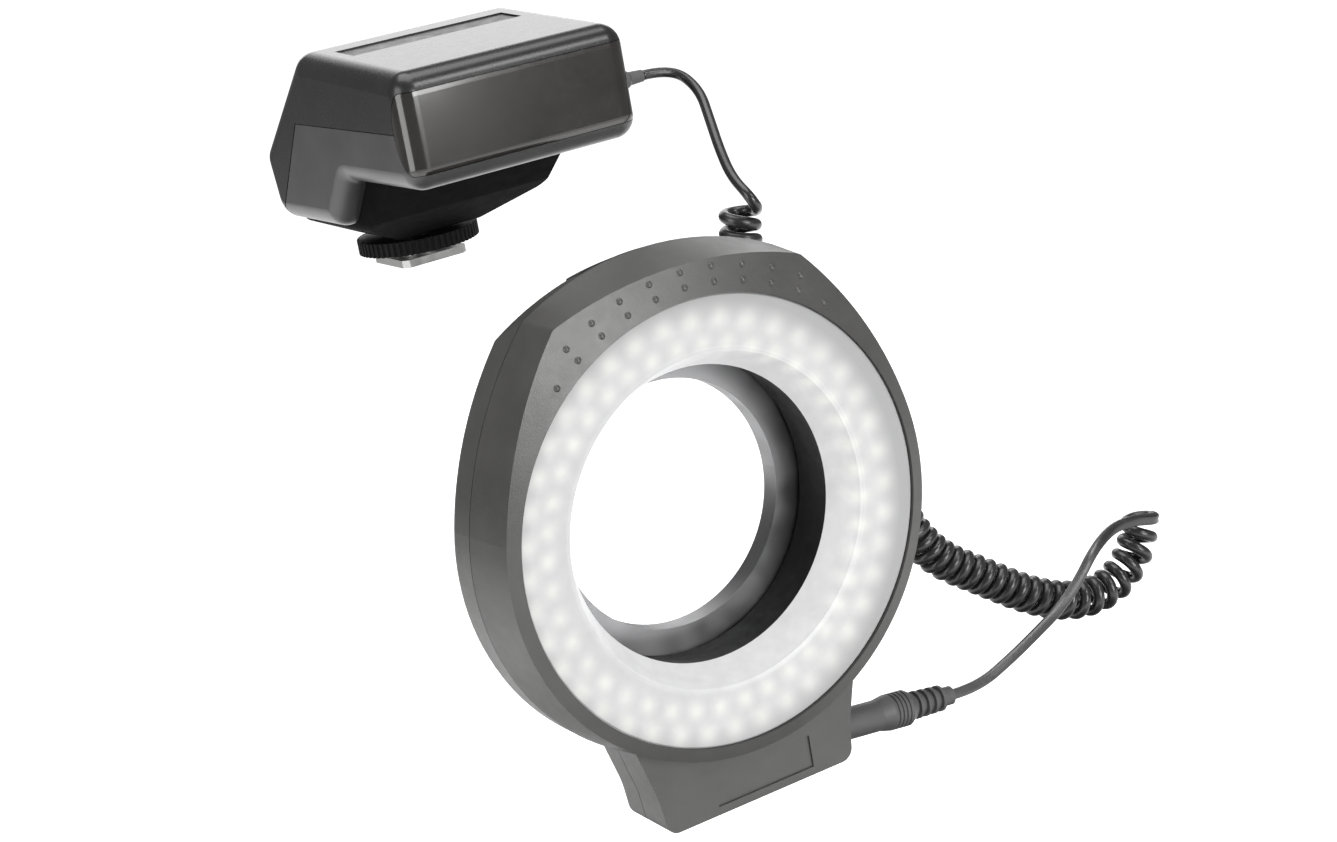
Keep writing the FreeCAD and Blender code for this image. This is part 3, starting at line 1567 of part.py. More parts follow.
def cells():
    solids = []
    for index, (y, z) in enumerate(cell_centres()):
        nub = 1.2
        flip = index % 2 == 0
        body_start = float(cell_left) + (0 if flip else nub)
        body_end = float(cell_right) - (nub if flip else 0)
        can = rod(s.cell_radius, V(body_start, y, z), V(body_end, y, z))
        if flip:
            button = rod(2.7, V(body_end, y, z), V(float(cell_right), y, z))
        else:
            button = rod(2.7, V(float(cell_left), y, z), V(body_start, y, z))
        solids.append(can.fuse(button))
    return keep("cells", Part.makeCompound(solids), UNIT)


def cell_box():
    """The moulded box that the four cells lie in."""
    left = cell_left - s.contact_thickness - 1.5
    right = door_inner_x - s.door_boss_length - 0.8
    outer = cell_outline(s.cell_radius + s.cell_box_wall, left, right)
    for y, z in cell_centres():
        start = V(float(cell_left - s.contact_thickness), y, z)
        outer = outer.cut(rod(s.cell_radius + s.cell_clearance, start, V(40, y, z)))
    return keep("cell_box", outer, UNIT)


def contacts(x0, pairs):
    """Contact strips, each across two cells."""
    strips = []
    centres = cell_centres()
    for first, second in pairs:
        start = V(0, *centres[first])
        end = V(0, *centres[second])
        way = (end - start).normalize()
        side = V(0, -way.z, way.y) * 3.0
        corners = [start - way * 3 + side, end + way * 3 + side, end + way * 3 - side, start - way * 3 - side]
        face = Part.Face(Part.makePolygon(corners + corners[:1]))
        face.translate(V(float(x0), 0, 0))
        strips.append(face.extrude(V(float(s.contact_thickness), 0, 0)))
    return strips


def cell_contacts():
    discs = []
    for y, z in cell_centres():
        discs.append(rod(4.5, V(float(cell_left - s.contact_thickness), y, z), V(float(cell_left) - 0.02, y, z)))
    return keep("cell_contacts", Part.makeCompound(discs), UNIT)


def door_contacts():
    x0 = door_inner_x - s.door_boss_length - s.contact_thickness
    return keep("door_contacts", Part.makeCompound(contacts(x0, ((0, 1), (2, 3)))), UNIT)


# Controls on the slanted rear, in the frame of that face

def control_plate():
    half = s.control_plate_width / 2 - 0.15
    start = s.control_plate_shift - s.control_plate_length / 2 + 0.15
    end = s.control_plate_shift + s.control_plate_length / 2 - 0.15
    low = -s.control_plate_recess
    plate = box(-half, half, start, end, low, low + s.control_plate_thickness)
    for tool in control_holes():
        plate = plate.cut(tool)
    return keep("control_plate", placed(plate, REAR), UNIT)


plate_top = s.control_plate_thickness - s.control_plate_recess


def slide_knob(name, row):
    """A slide switch's knob: a ribbed cap on a stem that goes through the slot."""
    x = s.switch_x
    low = plate_top + 0.1
    cap = box(x - s.switch_length / 2, x + s.switch_length / 2, row - float(s.switch_width) / 2,
              row + float(s.switch_width) / 2, low, low + s.switch_height)
    rims = [edge for edge in cap.Edges if edge.BoundBox.ZMin > float(low) + 0.1]
    cap = cap.makeChamfer(0.5, rims)
    stem = box(x - 1.8, x + 1.8, row - 0.9, row + 0.9, -3.6, low + 0.2)
    knob = cap.fuse(stem)
    for offset in (-1.6, 0.0, 1.6):
        knob = knob.cut(box(x + offset - 0.35, x + offset + 0.35, row - 3, row + 3,
                            low + s.switch_height - 0.6, low + s.switch_height + 1))
    return keep(name, placed(knob.removeSplitter(), REAR), UNIT)


def brightness_dial():
    place = UNIT.multiply(REAR).multiply(
        FreeCAD.Placement(vec(s.dial_x, s.control_plate_shift, plate_top + 0.2), FreeCAD.Rotation()))
    body = pad_body("brightness_dial", place, s.dial_height, circles=[(0.0, 0.0, s.dial_radius)])
    stem = new_sketch(body, "XY_Plane", "brightness_dial_stem")
    draw_circle(stem, 0.0, 0.0, s.dial_shaft_radius)
    shaft = body.newObject("PartDesign::Pad", "brightness_dial_shaft")
    shaft.Profile = stem
    shaft.Length = 5.0
    shaft.Reversed = True
    body.Tip = shaft
    knurl(body, "brightness_dial", s.dial_height, s.dial_radius, Size(0.45, "0.45"), DIAL_GROOVES)
    return body


def pilot_lamp():
    shift = float(s.control_plate_shift)
    base = vec(s.lamp_x, shift + float(s.lamp_row), -3.5)
    top = vec(s.lamp_x, shift + float(s.lamp_row), plate_top + 0.4)
    radius = float(s.lamp_radius)
    lens = rod(s.lamp_radius, base, top)
    dome = Part.makeSphere(radius * 1.25, top - V(0, 0, radius * 0.75))
    lens = lens.fuse(dome.common(rod(s.lamp_radius, top, top + V(0, 0, 3)))).removeSplitter()
    return keep("pilot_lamp", placed(lens, REAR), UNIT)


def switch_bodies():
    """The two slide switches and the dial's potentiometer on a small board behind the slanted rear."""
    deep = -3.8
    shift = float(s.control_plate_shift)
    board = box(-18.5, 17.2, shift - 8.0, shift + 8.0, deep - 1.7, deep - 0.9)
    parts = [board]
    for row, low, high in switch_rows():
        parts.append(box(s.switch_x - 5.0, s.switch_x + 7.0, row - 2.4, row + 2.4, deep - 1.0, deep))
    parts.append(rod(4.5, vec(s.dial_x, shift, deep - 1.0), vec(s.dial_x, shift, deep)))
    parts.append(rod(1.0, vec(s.lamp_x, shift + float(s.lamp_row), deep - 1.0),
                     vec(s.lamp_x, shift + float(s.lamp_row), -3.5)))
    solid = fuse(parts[0], parts[1:])
    hole = rod(s.dial_shaft_radius + s.dial_clearance, vec(s.dial_x, shift, -20), vec(s.dial_x, shift, 2))
    return keep("switch_board", placed(solid.cut(hole), REAR), UNIT)


# Blocks on the driver board: left, right, front, rear (from the board's front edge) and height
DRIVER_BLOCKS = [
    (-18.0, -8.0, 4.0, 14.0, 6.0),
    (2.0, 14.0, 5.0, 11.0, 2.4),
]
# Its upright capacitors: radius, across, behind the board's front edge, height
DRIVER_CANS = [
    (4.0, -2.0, 19.0, 11.4),
    (3.0, 9.0, 19.0, 8.4),
]


def driver_board():
    start = s.driver_board_behind_front - s.unit_front_reach
    low = s.driver_board_height
    top = low + s.driver_board_thickness
    half = s.driver_board_half_width
    board = box(-half, half, start, start + s.driver_board_length, low, top)
    parts = []
    for left, right, front, rear, height in DRIVER_BLOCKS:
        parts.append(box(left, right, start + front, start + rear, top, top + height))
    for radius, across, behind, height in DRIVER_CANS:
        parts.append(rod(radius, vec(across, start + behind, top), vec(across, start + behind, top + height)))
    board = fuse(board, parts)
    for x, y in unit_screws:
        board = board.cut(rod(s.unit_boss_radius + INTO, vec(x, y, low - PAST), vec(x, y, top + PAST)))
    return keep("driver_board", board, UNIT)


def unit_screws_node():
    screws = []
    for x, y in unit_screws:
        bottom, seat, parting = screw_heights(y)
        head = rod(s.screw_head_radius, vec(x, y, seat - s.screw_head_height), V(x, y, seat))
        shank = rod(s.screw_radius, V(x, y, seat), vec(x, y, parting + s.unit_screw_grip))
        screws.append(head.fuse(shank).removeSplitter())
    return keep("unit_screws", Part.makeCompound(screws), UNIT)


# Foot: block, shoe foot, washer and locking wheel

def foot_block(form):
    """The block under the casing: upright sides, a face that slants back, and a bowl-shaped underside."""
    step = s.unit_step_top_ahead - s.unit_step_ahead
    top = s.unit_front_bottom + PAST
    side = [
        (-s.block_front_ahead, top, 0.0),
        (-s.block_front_ahead, s.unit_front_bottom - s.block_front_drop, s.block_corner_round / 2),
        (-s.block_nose_ahead, s.block_nose_height, s.block_corner_round * 2),
        (-s.block_toe_ahead, s.block_bottom_height, s.block_corner_round),
        (s.block_heel_behind, s.block_bottom_height, s.block_corner_round),
        (s.block_heel_behind, s.unit_bottom_height + PAST, 0.0),
        (step / 2 - s.unit_step_ahead, s.unit_bottom_height + PAST, 0.0),
        (step / 2 - s.unit_step_top_ahead, top, 0.0),
    ]
    wide = s.block_half_width
    slim = s.block_bottom_half_width
    rise = s.block_side_bottom - s.block_bottom_height
    run = (wide - slim) / float(rise)
    low = s.block_bottom_height - PAST
    bowl = [
        (wide, top + PAST, 0.0),
        (-wide, top + PAST, 0.0),
        (-wide, s.block_side_bottom, s.block_side_round),
        (run - slim, low, 0.0),
        (slim - run, low, 0.0),
        (wide, s.block_side_bottom, s.block_side_round),
    ]
    slab = Part.Face(rounded_outline(side, lambda u, v: V(-2 * float(wide), u, v)))
    slab = slab.extrude(V(4 * float(wide), 0, 0))
    front = -2 * float(s.block_front_ahead)
    prism = Part.Face(rounded_outline(bowl, lambda u, v: V(u, front, v))).extrude(V(0, -2 * front, 0))
    block = slab.common(prism).cut(form)
    neck = rod(s.neck_radius, V(0, 0, 0), vec(0, 0, top))
    return keep("foot_block", block.cut(neck), UNIT)


def shoe_foot():
    half = s.shoe_width / 2
    long = s.shoe_length / 2
    corners = [
        (-half, -long + 1.5),
        (-half + 1.5, -long),
        (half - 1.5, -long),
        (half, -long + 1.5),
        (half, long),
        (-half, long),
    ]
    body = pad_body("shoe_foot", UNIT, s.shoe_thickness, corners=corners)
    sketch = new_sketch(body, "XY_Plane", "shoe_foot_neck_outline")
    draw_circle(sketch, 0.0, 0.0, s.neck_radius)
    neck = body.newObject("PartDesign::Pad", "shoe_foot_neck")
    neck.Profile = sketch
    neck.setExpression("Length", (s.unit_bottom_height - 1.0).text)
    body.Tip = neck
    return body


def disc_body(name, low, thickness, radius):
    place = UNIT.multiply(FreeCAD.Placement(vec(0, 0, low), FreeCAD.Rotation()))
    bore = s.neck_radius + s.neck_clearance
    return pad_body(name, place, thickness, circles=[(0.0, 0.0, radius), (0.0, 0.0, bore)])


def clamp_washer():
    return disc_body("clamp_washer", s.shoe_thickness + s.rail_gap, s.washer_thickness, s.washer_radius)


def locking_wheel():
    low = s.shoe_thickness + s.rail_gap + s.washer_thickness
    body = disc_body("locking_wheel", low, s.wheel_thickness, s.wheel_radius)
    knurl(body, "locking_wheel", s.wheel_thickness, s.wheel_radius, s.wheel_groove_radius, WHEEL_GROOVES)
    return body


def lead_boot():
    """The strain relief where the lead enters the control unit."""
    flange = s.boot_flange_radius
    thick = s.boot_flange_thickness
    strand = s.cord_diameter / 2
    outline = [
        (-s.unit_wall - 1.0, 0.0),
        (-s.unit_wall - 1.0, strand),
        (0.0, strand),
        (0.0, flange),
        (thick, flange),
        (thick, flange - 0.9),
        (thick + 0.9, flange - 0.9),
        (thick + 1.4, flange - 0.35),
        (thick + 3.2, flange - 0.5),
        (thick + 4.0, strand + 0.45),
        (s.boot_length, strand + 0.25),
        (s.boot_length, 0.0),
    ]
    start = vec(s.unit_half_width, -boot_ahead, s.boot_height)
    return keep("lead_boot", turned(outline, start, V(1, 0, 0)), UNIT)


# Build every piece
front_shell()
rear_shell()
diffuser()
bore_sleeve()
adapter_ring()
light_board()
led_row("led_inner_row", s.led_inner_ring, s.led_inner_start)
led_row("led_outer_row", s.led_outer_ring, s.led_outer_start)
latch_plate()
release_button()
release_springs()
ring_screws()
power_socket()
plug()
plug_tip()
plug_boot()
cord_coil()
cord_lead()
cord_tail()

form = unit_form()
hollow = unit_hollow(float(s.unit_wall))
upper_casing(form, hollow)
lower_casing(form, hollow)
front_panel(form)
top_band()
battery_door(form)
door_hinge_pin()
cells()
cell_box()
cell_contacts()
door_contacts()
control_plate()
slide_knob("power_switch", switch_rows()[0][0])
slide_knob("half_selector", switch_rows()[1][0])
brightness_dial()
pilot_lamp()
switch_bodies()
driver_board()
unit_screws_node()
foot_block(form)
shoe_foot()
clamp_washer()
locking_wheel()
lead_boot()

# Check and write
doc.recompute()
for item in doc.Objects:
    if "Invalid" in item.State or "Error" in item.State:
        raise RuntimeError("failed feature: " + item.Name)
os.makedirs("parts", exist_ok=True)
for piece in nodes:
    shape = piece.Shape
    if shape.isNull() or not shape.isValid():
        raise RuntimeError("bad shape: " + piece.Label)
    if not shape.Solids:
        raise RuntimeError("no solid: " + piece.Label)
    shape.exportStep("parts/" + piece.Label + ".step")
    size = shape.BoundBox
    print("%-16s solids %d volume %9.1f  x %.1f..%.1f y %.1f..%.1f z %.1f..%.1f" %
          (piece.Label, len(shape.Solids), shape.Volume,
           size.XMin, size.XMax, size.YMin, size.YMax, size.ZMin, size.ZMax))
print(len(nodes), "nodes written")
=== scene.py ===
# %% [markdown]
# This lesson dresses a macro ring light: a lit ring on its lens adapter, a curly cord, and a battery and
# control unit on a shoe foot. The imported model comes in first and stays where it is. Every new piece is
# made in the same place and size, in metres, so nothing needs fitting afterwards. Work starts with the
# frame because every later cell measures from it.

# %% Load the frame
import math
import bpy
from mathutils import Matrix, Vector


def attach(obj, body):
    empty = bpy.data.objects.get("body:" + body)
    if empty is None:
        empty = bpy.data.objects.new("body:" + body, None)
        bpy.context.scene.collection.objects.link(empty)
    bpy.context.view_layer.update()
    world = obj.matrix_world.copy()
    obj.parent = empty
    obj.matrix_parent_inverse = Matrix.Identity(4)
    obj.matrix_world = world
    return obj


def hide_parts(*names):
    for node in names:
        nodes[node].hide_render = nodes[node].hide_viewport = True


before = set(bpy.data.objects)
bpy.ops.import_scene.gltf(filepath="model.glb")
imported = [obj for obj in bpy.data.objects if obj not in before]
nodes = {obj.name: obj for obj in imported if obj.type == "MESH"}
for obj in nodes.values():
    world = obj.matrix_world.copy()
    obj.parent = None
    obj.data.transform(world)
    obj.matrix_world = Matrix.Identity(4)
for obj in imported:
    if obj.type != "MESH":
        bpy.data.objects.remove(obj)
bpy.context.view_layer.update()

# %% [markdown]
# The source of the part counts the depths of the ring head and of the cord from the edge of the diffuser. One
# small function turns those millimetres into metres of the frame, so that the numbers below read like the
# ones on a drawing. A plain function is enough here, and it keeps every object at the origin with its place
# in its mesh.

# %% Places in millimetres
MM = 0.001
RING_DEPTH = 27.15


def ring_point(x, y, z):
    """A point of the ring head or of the cord."""
    return Vector((x * MM, (y - RING_DEPTH) * MM, z * MM))


print("front edge of the diffuser", tuple(ring_point(0, 0, 0)))

# %% [markdown]
# Camera. The picture is taken from the front left and a little above, with the camera rolled about ten
# degrees. A camera can be aimed by a constraint or by a quaternion; here its three axes are written as the
# columns of a matrix, because that keeps the roll exactly. Axes, place and focal length were fitted to the
# ring's circles and to straight edges in the picture.

# %% Camera
camera_data = bpy.data.cameras.new("camera")
camera = bpy.data.objects.new("camera", camera_data)
bpy.context.scene.collection.objects.link(camera)
camera_right = Vector((0.83634, -0.52161, -0.16869))
camera_up = Vector((0.28329, 0.14779, 0.94759))
camera_back = Vector((-0.46934, -0.84029, 0.27137))
turn = Matrix((camera_right, camera_up, camera_back)).transposed()
camera.matrix_world = Matrix.Translation(ring_point(-265.75, -458.27, 175.02)) @ turn.to_4x4()
camera_data.sensor_width = 36.0
camera_data.lens = 66.96
camera_data.clip_start = 0.01
camera_data.clip_end = 20.0
bpy.context.scene.camera = camera
print("camera at", [round(v, 4) for v in camera.location])

# %% [markdown]
# Light. The picture looks like one that was taken in a white tent: light comes from all sides, more of it
# from above, and there are long soft reflections. A world colour does the tent. Five area lamps do the rest:
# the roof, the wall behind, the wall on the left, a panel in front and a small high one that draws the bright
# lines on edges and cord. The world is pure white to the camera, but lights the object at its own lower
# level.

# %% World and lamps
TENT_LEVEL = 0.22
scene = bpy.context.scene
scene.view_settings.view_transform = "Standard"
world = bpy.data.worlds.new("tent")
scene.world = world
world.use_nodes = True
tree = world.node_tree
tree.nodes.clear()
tent = tree.nodes.new("ShaderNodeBackground")
tent.inputs["Color"].default_value = (1.0, 1.0, 1.0, 1.0)
tent.inputs["Strength"].default_value = TENT_LEVEL
white = tree.nodes.new("ShaderNodeBackground")
white.inputs["Color"].default_value = (1.0, 1.0, 1.0, 1.0)
white.inputs["Strength"].default_value = 1.0
path = tree.nodes.new("ShaderNodeLightPath")
choose = tree.nodes.new("ShaderNodeMixShader")
out = tree.nodes.new("ShaderNodeOutputWorld")
tree.links.new(path.outputs["Is Camera Ray"], choose.inputs["Fac"])
tree.links.new(tent.outputs["Background"], choose.inputs[1])
tree.links.new(white.outputs["Background"], choose.inputs[2])
tree.links.new(choose.outputs["Shader"], out.inputs["Surface"])


def softbox(name, place, target, wide, high, watts):
    """A rectangular lamp at a place, facing a target, in metres."""
    data = bpy.data.lights.new(name, "AREA")
    data.shape = "RECTANGLE"
    data.size = wide
    data.size_y = high
    data.energy = watts
    lamp = bpy.data.objects.new(name, data)
    scene.collection.objects.link(lamp)
    lamp.location = place
    lamp.rotation_mode = "QUATERNION"
    lamp.rotation_quaternion = (Vector(target) - Vector(place)).to_track_quat("-Z", "Y")
    return lamp


softbox("roof", (0.1, 0.15, 1.15), (0.0, 0.05, 0.0), 1.0, 0.9, 10.0)
softbox("back_wall", (0.62, 1.25, 0.46), (0.0, 0.1, 0.05), 1.1, 0.6, 4.4)
softbox("left_wall", (-0.95, -0.1, 0.3), (0.0, 0.0, 0.0), 0.6, 0.9, 6.0)
softbox("front_wall", (0.195, -0.95, 0.21), (0.0, 0.0, 0.02), 0.49, 0.5, 7.0)
softbox("high_front", (0.48, -0.72, 0.82), (0.06, 0.0, 0.0), 0.3, 0.3, 3.0)

# %% [markdown]
# Floor. The object is held up by its lens mount, so the floor lies some way below it. One large plane does
# it. It shines for the camera, which keeps it about as white as the world behind it. Under the object its
# colour is dark for everything else, a painted shadow, so that it doesn't light the undersides. A ring around
# that glows for glossy rays only, a painted reflection that shows up in glossy surfaces as a pale horizon.

# %% Floor
FLOOR_SIZE = 16.0
FLOOR_PLACE = (0.0, 4.0, -0.26)
FLOOR_REACH = 2.0
CAMERA_SHINE = 0.95
bpy.ops.object.select_all(action="DESELECT")
bpy.ops.mesh.primitive_plane_add(size=FLOOR_SIZE, location=FLOOR_PLACE)
floor = bpy.context.object
floor.name = "floor"
bpy.ops.object.transform_apply(location=True, rotation=False, scale=True)
paint = bpy.data.materials.new("pale_floor")
paint.use_nodes = True
shader = paint.node_tree.nodes["Principled BSDF"]
shader.inputs["Roughness"].default_value = 0.9
shader.inputs["Emission Color"].default_value = (1.0, 1.0, 1.0, 1.0)
floor_nodes = paint.node_tree.nodes
floor_links = paint.node_tree.links
floor_path = floor_nodes.new("ShaderNodeLightPath")
floor_place = floor_nodes.new("ShaderNodeTexCoord")
floor_far = floor_nodes.new("ShaderNodeVectorMath")
floor_far.operation = "LENGTH"
floor_links.new(floor_place.outputs["Object"], floor_far.inputs[0])


def floor_ramp(stops):
    """Grey levels by distance from the frame's origin, in metres and up to the reach."""
    share = floor_nodes.new("ShaderNodeMath")
    share.operation = "MULTIPLY"
    share.inputs[1].default_value = 1.0 / FLOOR_REACH
    ramp = floor_nodes.new("ShaderNodeValToRGB")
    floor_links.new(floor_far.outputs["Value"], share.inputs[0])
    floor_links.new(share.outputs["Value"], ramp.inputs["Fac"])
    marks = ramp.color_ramp.elements
    for distance, level in stops[1:-1]:
        marks.new(distance / FLOOR_REACH).color = (level, level, level, 1.0)
    for index in (0, -1):
        marks[index].color = (*[stops[index][1]] * 3, 1.0)
    return ramp.outputs["Color"]


def floor_times(first, second):
    """A light path's share times a level, or times another node's output."""
    node = floor_nodes.new("ShaderNodeMath")
    node.operation = "MULTIPLY"
    floor_links.new(first, node.inputs[0])
    if isinstance(second, float):
        node.inputs[1].default_value = second
    else:
        floor_links.new(second, node.inputs[1])
    return node.outputs["Value"]


# Painted shadow: the floor's colour is dark under the object.
tone = floor_ramp([(0.0, 0.04), (0.28, 0.06), (0.45, 0.8), (FLOOR_REACH, 0.8)])
floor_links.new(tone, shader.inputs["Base Color"])
shine = floor_nodes.new("ShaderNodeMath")
floor_links.new(floor_times(floor_path.outputs["Is Camera Ray"], CAMERA_SHINE), shine.inputs[0])
# Painted reflection: a ring of the floor glows for glossy rays only.
bright = floor_ramp([(0.0, 0.0), (0.32, 0.0), (0.5, 0.8), (1.4, 0.8), (FLOOR_REACH, 0.0)])
floor_links.new(floor_times(floor_path.outputs["Is Glossy Ray"], bright), shine.inputs[1])
floor_links.new(shine.outputs["Value"], shader.inputs["Emission Strength"])
floor.data.materials.append(paint)
print("floor at", round(floor.data.vertices[0].co.z, 3))

# %% [markdown]
# Materials start from one helper. It makes a material with the principled shader and the object's own
# coordinates ready, and returns the few things that every finish needs. Object coordinates are in metres
# and move with the piece, so grain keeps its real size on every piece.

# %% Material helper


def new_finish(name, colour, rough, metal=0.0, coat=0.0, specular=0.5):
    """A material, its node tree, its shader and the object's coordinates."""
    material = bpy.data.materials.new(name)
    material.use_nodes = True
    material.diffuse_color = (*colour, 1.0)
    nodes_of = material.node_tree.nodes
    shader_node = nodes_of["Principled BSDF"]
    shader_node.inputs["Base Color"].default_value = (*colour, 1.0)
    shader_node.inputs["Roughness"].default_value = rough
    shader_node.inputs["Metallic"].default_value = metal
    shader_node.inputs["Coat Weight"].default_value = coat
    shader_node.inputs["Coat Roughness"].default_value = 0.08
    shader_node.inputs["Specular IOR Level"].default_value = specular
    place = nodes_of.new("ShaderNodeTexCoord")
    return material, material.node_tree, shader_node, place.outputs["Object"]


def add_noise(tree_of, vector, size_mm, detail=3.0, roughness=0.55):
    """Noise with spots of about the given size."""
    noise = tree_of.nodes.new("ShaderNodeTexNoise")
    noise.inputs["Scale"].default_value = 1.0 / (size_mm * MM)
    noise.inputs["Detail"].default_value = detail
    noise.inputs["Roughness"].default_value = roughness
    tree_of.links.new(vector, noise.inputs["Vector"])
    return noise.outputs["Fac"]


def add_range(tree_of, value, low, high, new_low, new_high):
    """Turns a value between low and high into one between two others."""
    mapper = tree_of.nodes.new("ShaderNodeMapRange")
    mapper.inputs["From Min"].default_value = low
    mapper.inputs["From Max"].default_value = high
    mapper.inputs["To Min"].default_value = new_low
    mapper.inputs["To Max"].default_value = new_high
    tree_of.links.new(value, mapper.inputs["Value"])
    return mapper.outputs["Result"]


def add_mix(tree_of, factor, first, second):
    """Mixes two colours by a factor."""
    mix = tree_of.nodes.new("ShaderNodeMix")
    mix.data_type = "RGBA"
    mix.inputs[6].default_value = (*first, 1.0)
    mix.inputs[7].default_value = (*second, 1.0)
    tree_of.links.new(factor, mix.inputs[0])
    return mix.outputs[2]


def add_bump(tree_of, height, depth_mm, shader_node, strength=1.0):
    """Raises the surface by a height of the given depth."""
    bump = tree_of.nodes.new("ShaderNodeBump")
    bump.inputs["Distance"].default_value = depth_mm * MM
    bump.inputs["Strength"].default_value = strength
    tree_of.links.new(height, bump.inputs["Height"])
    tree_of.links.new(bump.outputs["Normal"], shader_node.inputs["Normal"])
    return bump


print("helpers ready")

# %% [markdown]
# Moulded plastic. The casings are injection moulded with a fine spark-eroded grain: under a lens it is a
# field of tiny rounded pits, and from arm's length it only softens the reflections. A noise of about a third
# of a millimetre gives the pits, and wider ones let colour and sheen vary as handled plastic does. The same
# recipe with other numbers serves every plastic here. The tones follow the picture. There the foot block lies
# in shade and the lower casing looks paler than the upper one, so these two tones may not be the real ones:
# the foot block's near-black is painted shade, and the lower casing's paler grey is painted light.

# %% Moulded plastics
MOTTLE_SIZE = 14.0
SHEEN_SIZE = 3.0


def moulded(name, colour, rough, grain_mm=0.35, grain_depth=0.012, mottle=0.12, specular=0.5, handled=0.055):
    """Injection-moulded plastic with a fine grain and a slight change of tone."""
    material, tree_of, shader_node, place = new_finish(name, colour, rough, specular=specular)
    wide = add_noise(tree_of, place, MOTTLE_SIZE, detail=4.0)
    darker = tuple(c * (1.0 - mottle) for c in colour)
    lighter = tuple(min(1.0, c * (1.0 + mottle)) for c in colour)
    toned = add_mix(tree_of, add_range(tree_of, wide, 0.35, 0.65, 0.0, 1.0), darker, lighter)
    tree_of.links.new(toned, shader_node.inputs["Base Color"])
    grain = add_noise(tree_of, place, grain_mm, detail=2.0)
    add_bump(tree_of, grain, grain_depth, shader_node)
    sheen = add_noise(tree_of, place, SHEEN_SIZE, detail=3.0)
    shine = add_range(tree_of, sheen, 0.3, 0.7, rough - handled, rough + handled)
    tree_of.links.new(shine, shader_node.inputs["Roughness"])
    return material


RING_GREY = (0.053, 0.0525, 0.0505)
ring_plastic = moulded("ring_plastic", RING_GREY, 0.38, grain_depth=0.03, specular=0.62, handled=0.03)


def grey_plastic(name, tone, rough, grain_mm, **looks):
    """A plastic of a neutral grey."""
    return moulded(name, (tone, tone, tone), rough, grain_mm=grain_mm, **looks)


bore_plastic = grey_plastic("bore_plastic", 0.008, 0.6, 0.25, specular=0.3)
unit_plastic = grey_plastic("unit_plastic", 0.016, 0.27, 0.4, grain_depth=0.0004, handled=0.008)
# The lower casing's paler grey is painted light.
lower_plastic_painted_light = grey_plastic("lower_plastic_painted_light", 0.06, 0.3, 0.4, grain_depth=0.001, handled=0.02)
# The foot block's near-black is painted shade.
block_plastic_painted_shade = grey_plastic("block_plastic_painted_shade", 0.006, 0.7, 0.4, grain_depth=0.002, specular=0.02)
key_plastic = grey_plastic("key_plastic", 0.03, 0.42, 0.25, grain_depth=0.008)
wheel_plastic = grey_plastic("wheel_plastic", 0.006, 0.55, 0.3, grain_depth=0.01, specular=0.12)
inner_plastic = grey_plastic("inner_plastic", 0.04, 0.55, 0.4)
plug_rubber = grey_plastic("plug_rubber", 0.075, 0.48, 0.3, grain_depth=0.01)
print("plastics", [m.name for m in bpy.data.materials if "plastic" in m.name])

# %% [markdown]
# Smoked front panel. It is a dark tinted window polished like glass, with hair-fine handling marks. Clear
# plastic over a black inside looks much the same as a black body under gloss, which is simpler, so the panel
# is a near-black body with a clear coat. A wide noise varies its tint, and a fine one its roughness, as the
# handling marks do.

# %% Smoked gloss
SMOKE = (0.016, 0.0145, 0.013)
SMOKE_DARKER = (0.012, 0.011, 0.010)
SMOKE_LIGHTER = (0.022, 0.019, 0.017)
smoked_gloss, tree_of, shader_node, place = new_finish("smoked_gloss", SMOKE, 0.16, coat=0.8)
cloud = add_noise(tree_of, place, 22.0, detail=2.0)
tinted = add_mix(tree_of, add_range(tree_of, cloud, 0.4, 0.6, 0.0, 1.0), SMOKE_DARKER, SMOKE_LIGHTER)
tree_of.links.new(tinted, shader_node.inputs["Base Color"])
marks = add_noise(tree_of, place, 1.6, detail=6.0, roughness=0.7)
tree_of.links.new(add_range(tree_of, marks, 0.35, 0.65, 0.15, 0.19), shader_node.inputs["Roughness"])
add_bump(tree_of, cloud, 0.01, shader_node)
print("smoked gloss ready")

# %% [markdown]
# Metals. The adapter ring is turned and grey anodised, which leaves rings of tool marks about its axis. The
# foot, the washer and the small inner parts are plain steel, and the contacts and the plug's tip are nickel
# plated. A wave texture in rings about the axis does the turning marks; plain noise does the rest. At scale
# one that texture has about 3.2 rings to a metre.

# %% Metals
RINGS_PER_METRE = 3.2


def turned_metal(name, colour, rough, pitch_mm, axis="Y"):
    """Metal with turning marks in rings about an axis through the origin."""
    material, tree_of, shader_node, place = new_finish(name, colour, rough, metal=1.0)
    rings = tree_of.nodes.new("ShaderNodeTexWave")
    rings.wave_type = "RINGS"
    rings.rings_direction = axis
    rings.inputs["Scale"].default_value = 1.0 / (pitch_mm * MM) / RINGS_PER_METRE
    rings.inputs["Distortion"].default_value = 0.4
    rings.inputs["Detail"].default_value = 2.0
    tree_of.links.new(place, rings.inputs["Vector"])
    add_bump(tree_of, rings.outputs["Fac"], 0.008, shader_node)
    blotch = add_noise(tree_of, place, 9.0)
    worn = add_range(tree_of, blotch, 0.35, 0.65, rough - 0.05, rough + 0.08)
    tree_of.links.new(worn, shader_node.inputs["Roughness"])
    return material


def plain_metal(name, colour, rough, size_mm=0.6):
    """Bare or plated metal with fine unevenness."""
    material, tree_of, shader_node, place = new_finish(name, colour, rough, metal=1.0)
    fine = add_noise(tree_of, place, size_mm, detail=4.0)
    add_bump(tree_of, fine, 0.004, shader_node)
    blotch = add_noise(tree_of, place, 5.0)
    worn = add_range(tree_of, blotch, 0.35, 0.65, rough - 0.06, rough + 0.08)
    tree_of.links.new(worn, shader_node.inputs["Roughness"])
    return material


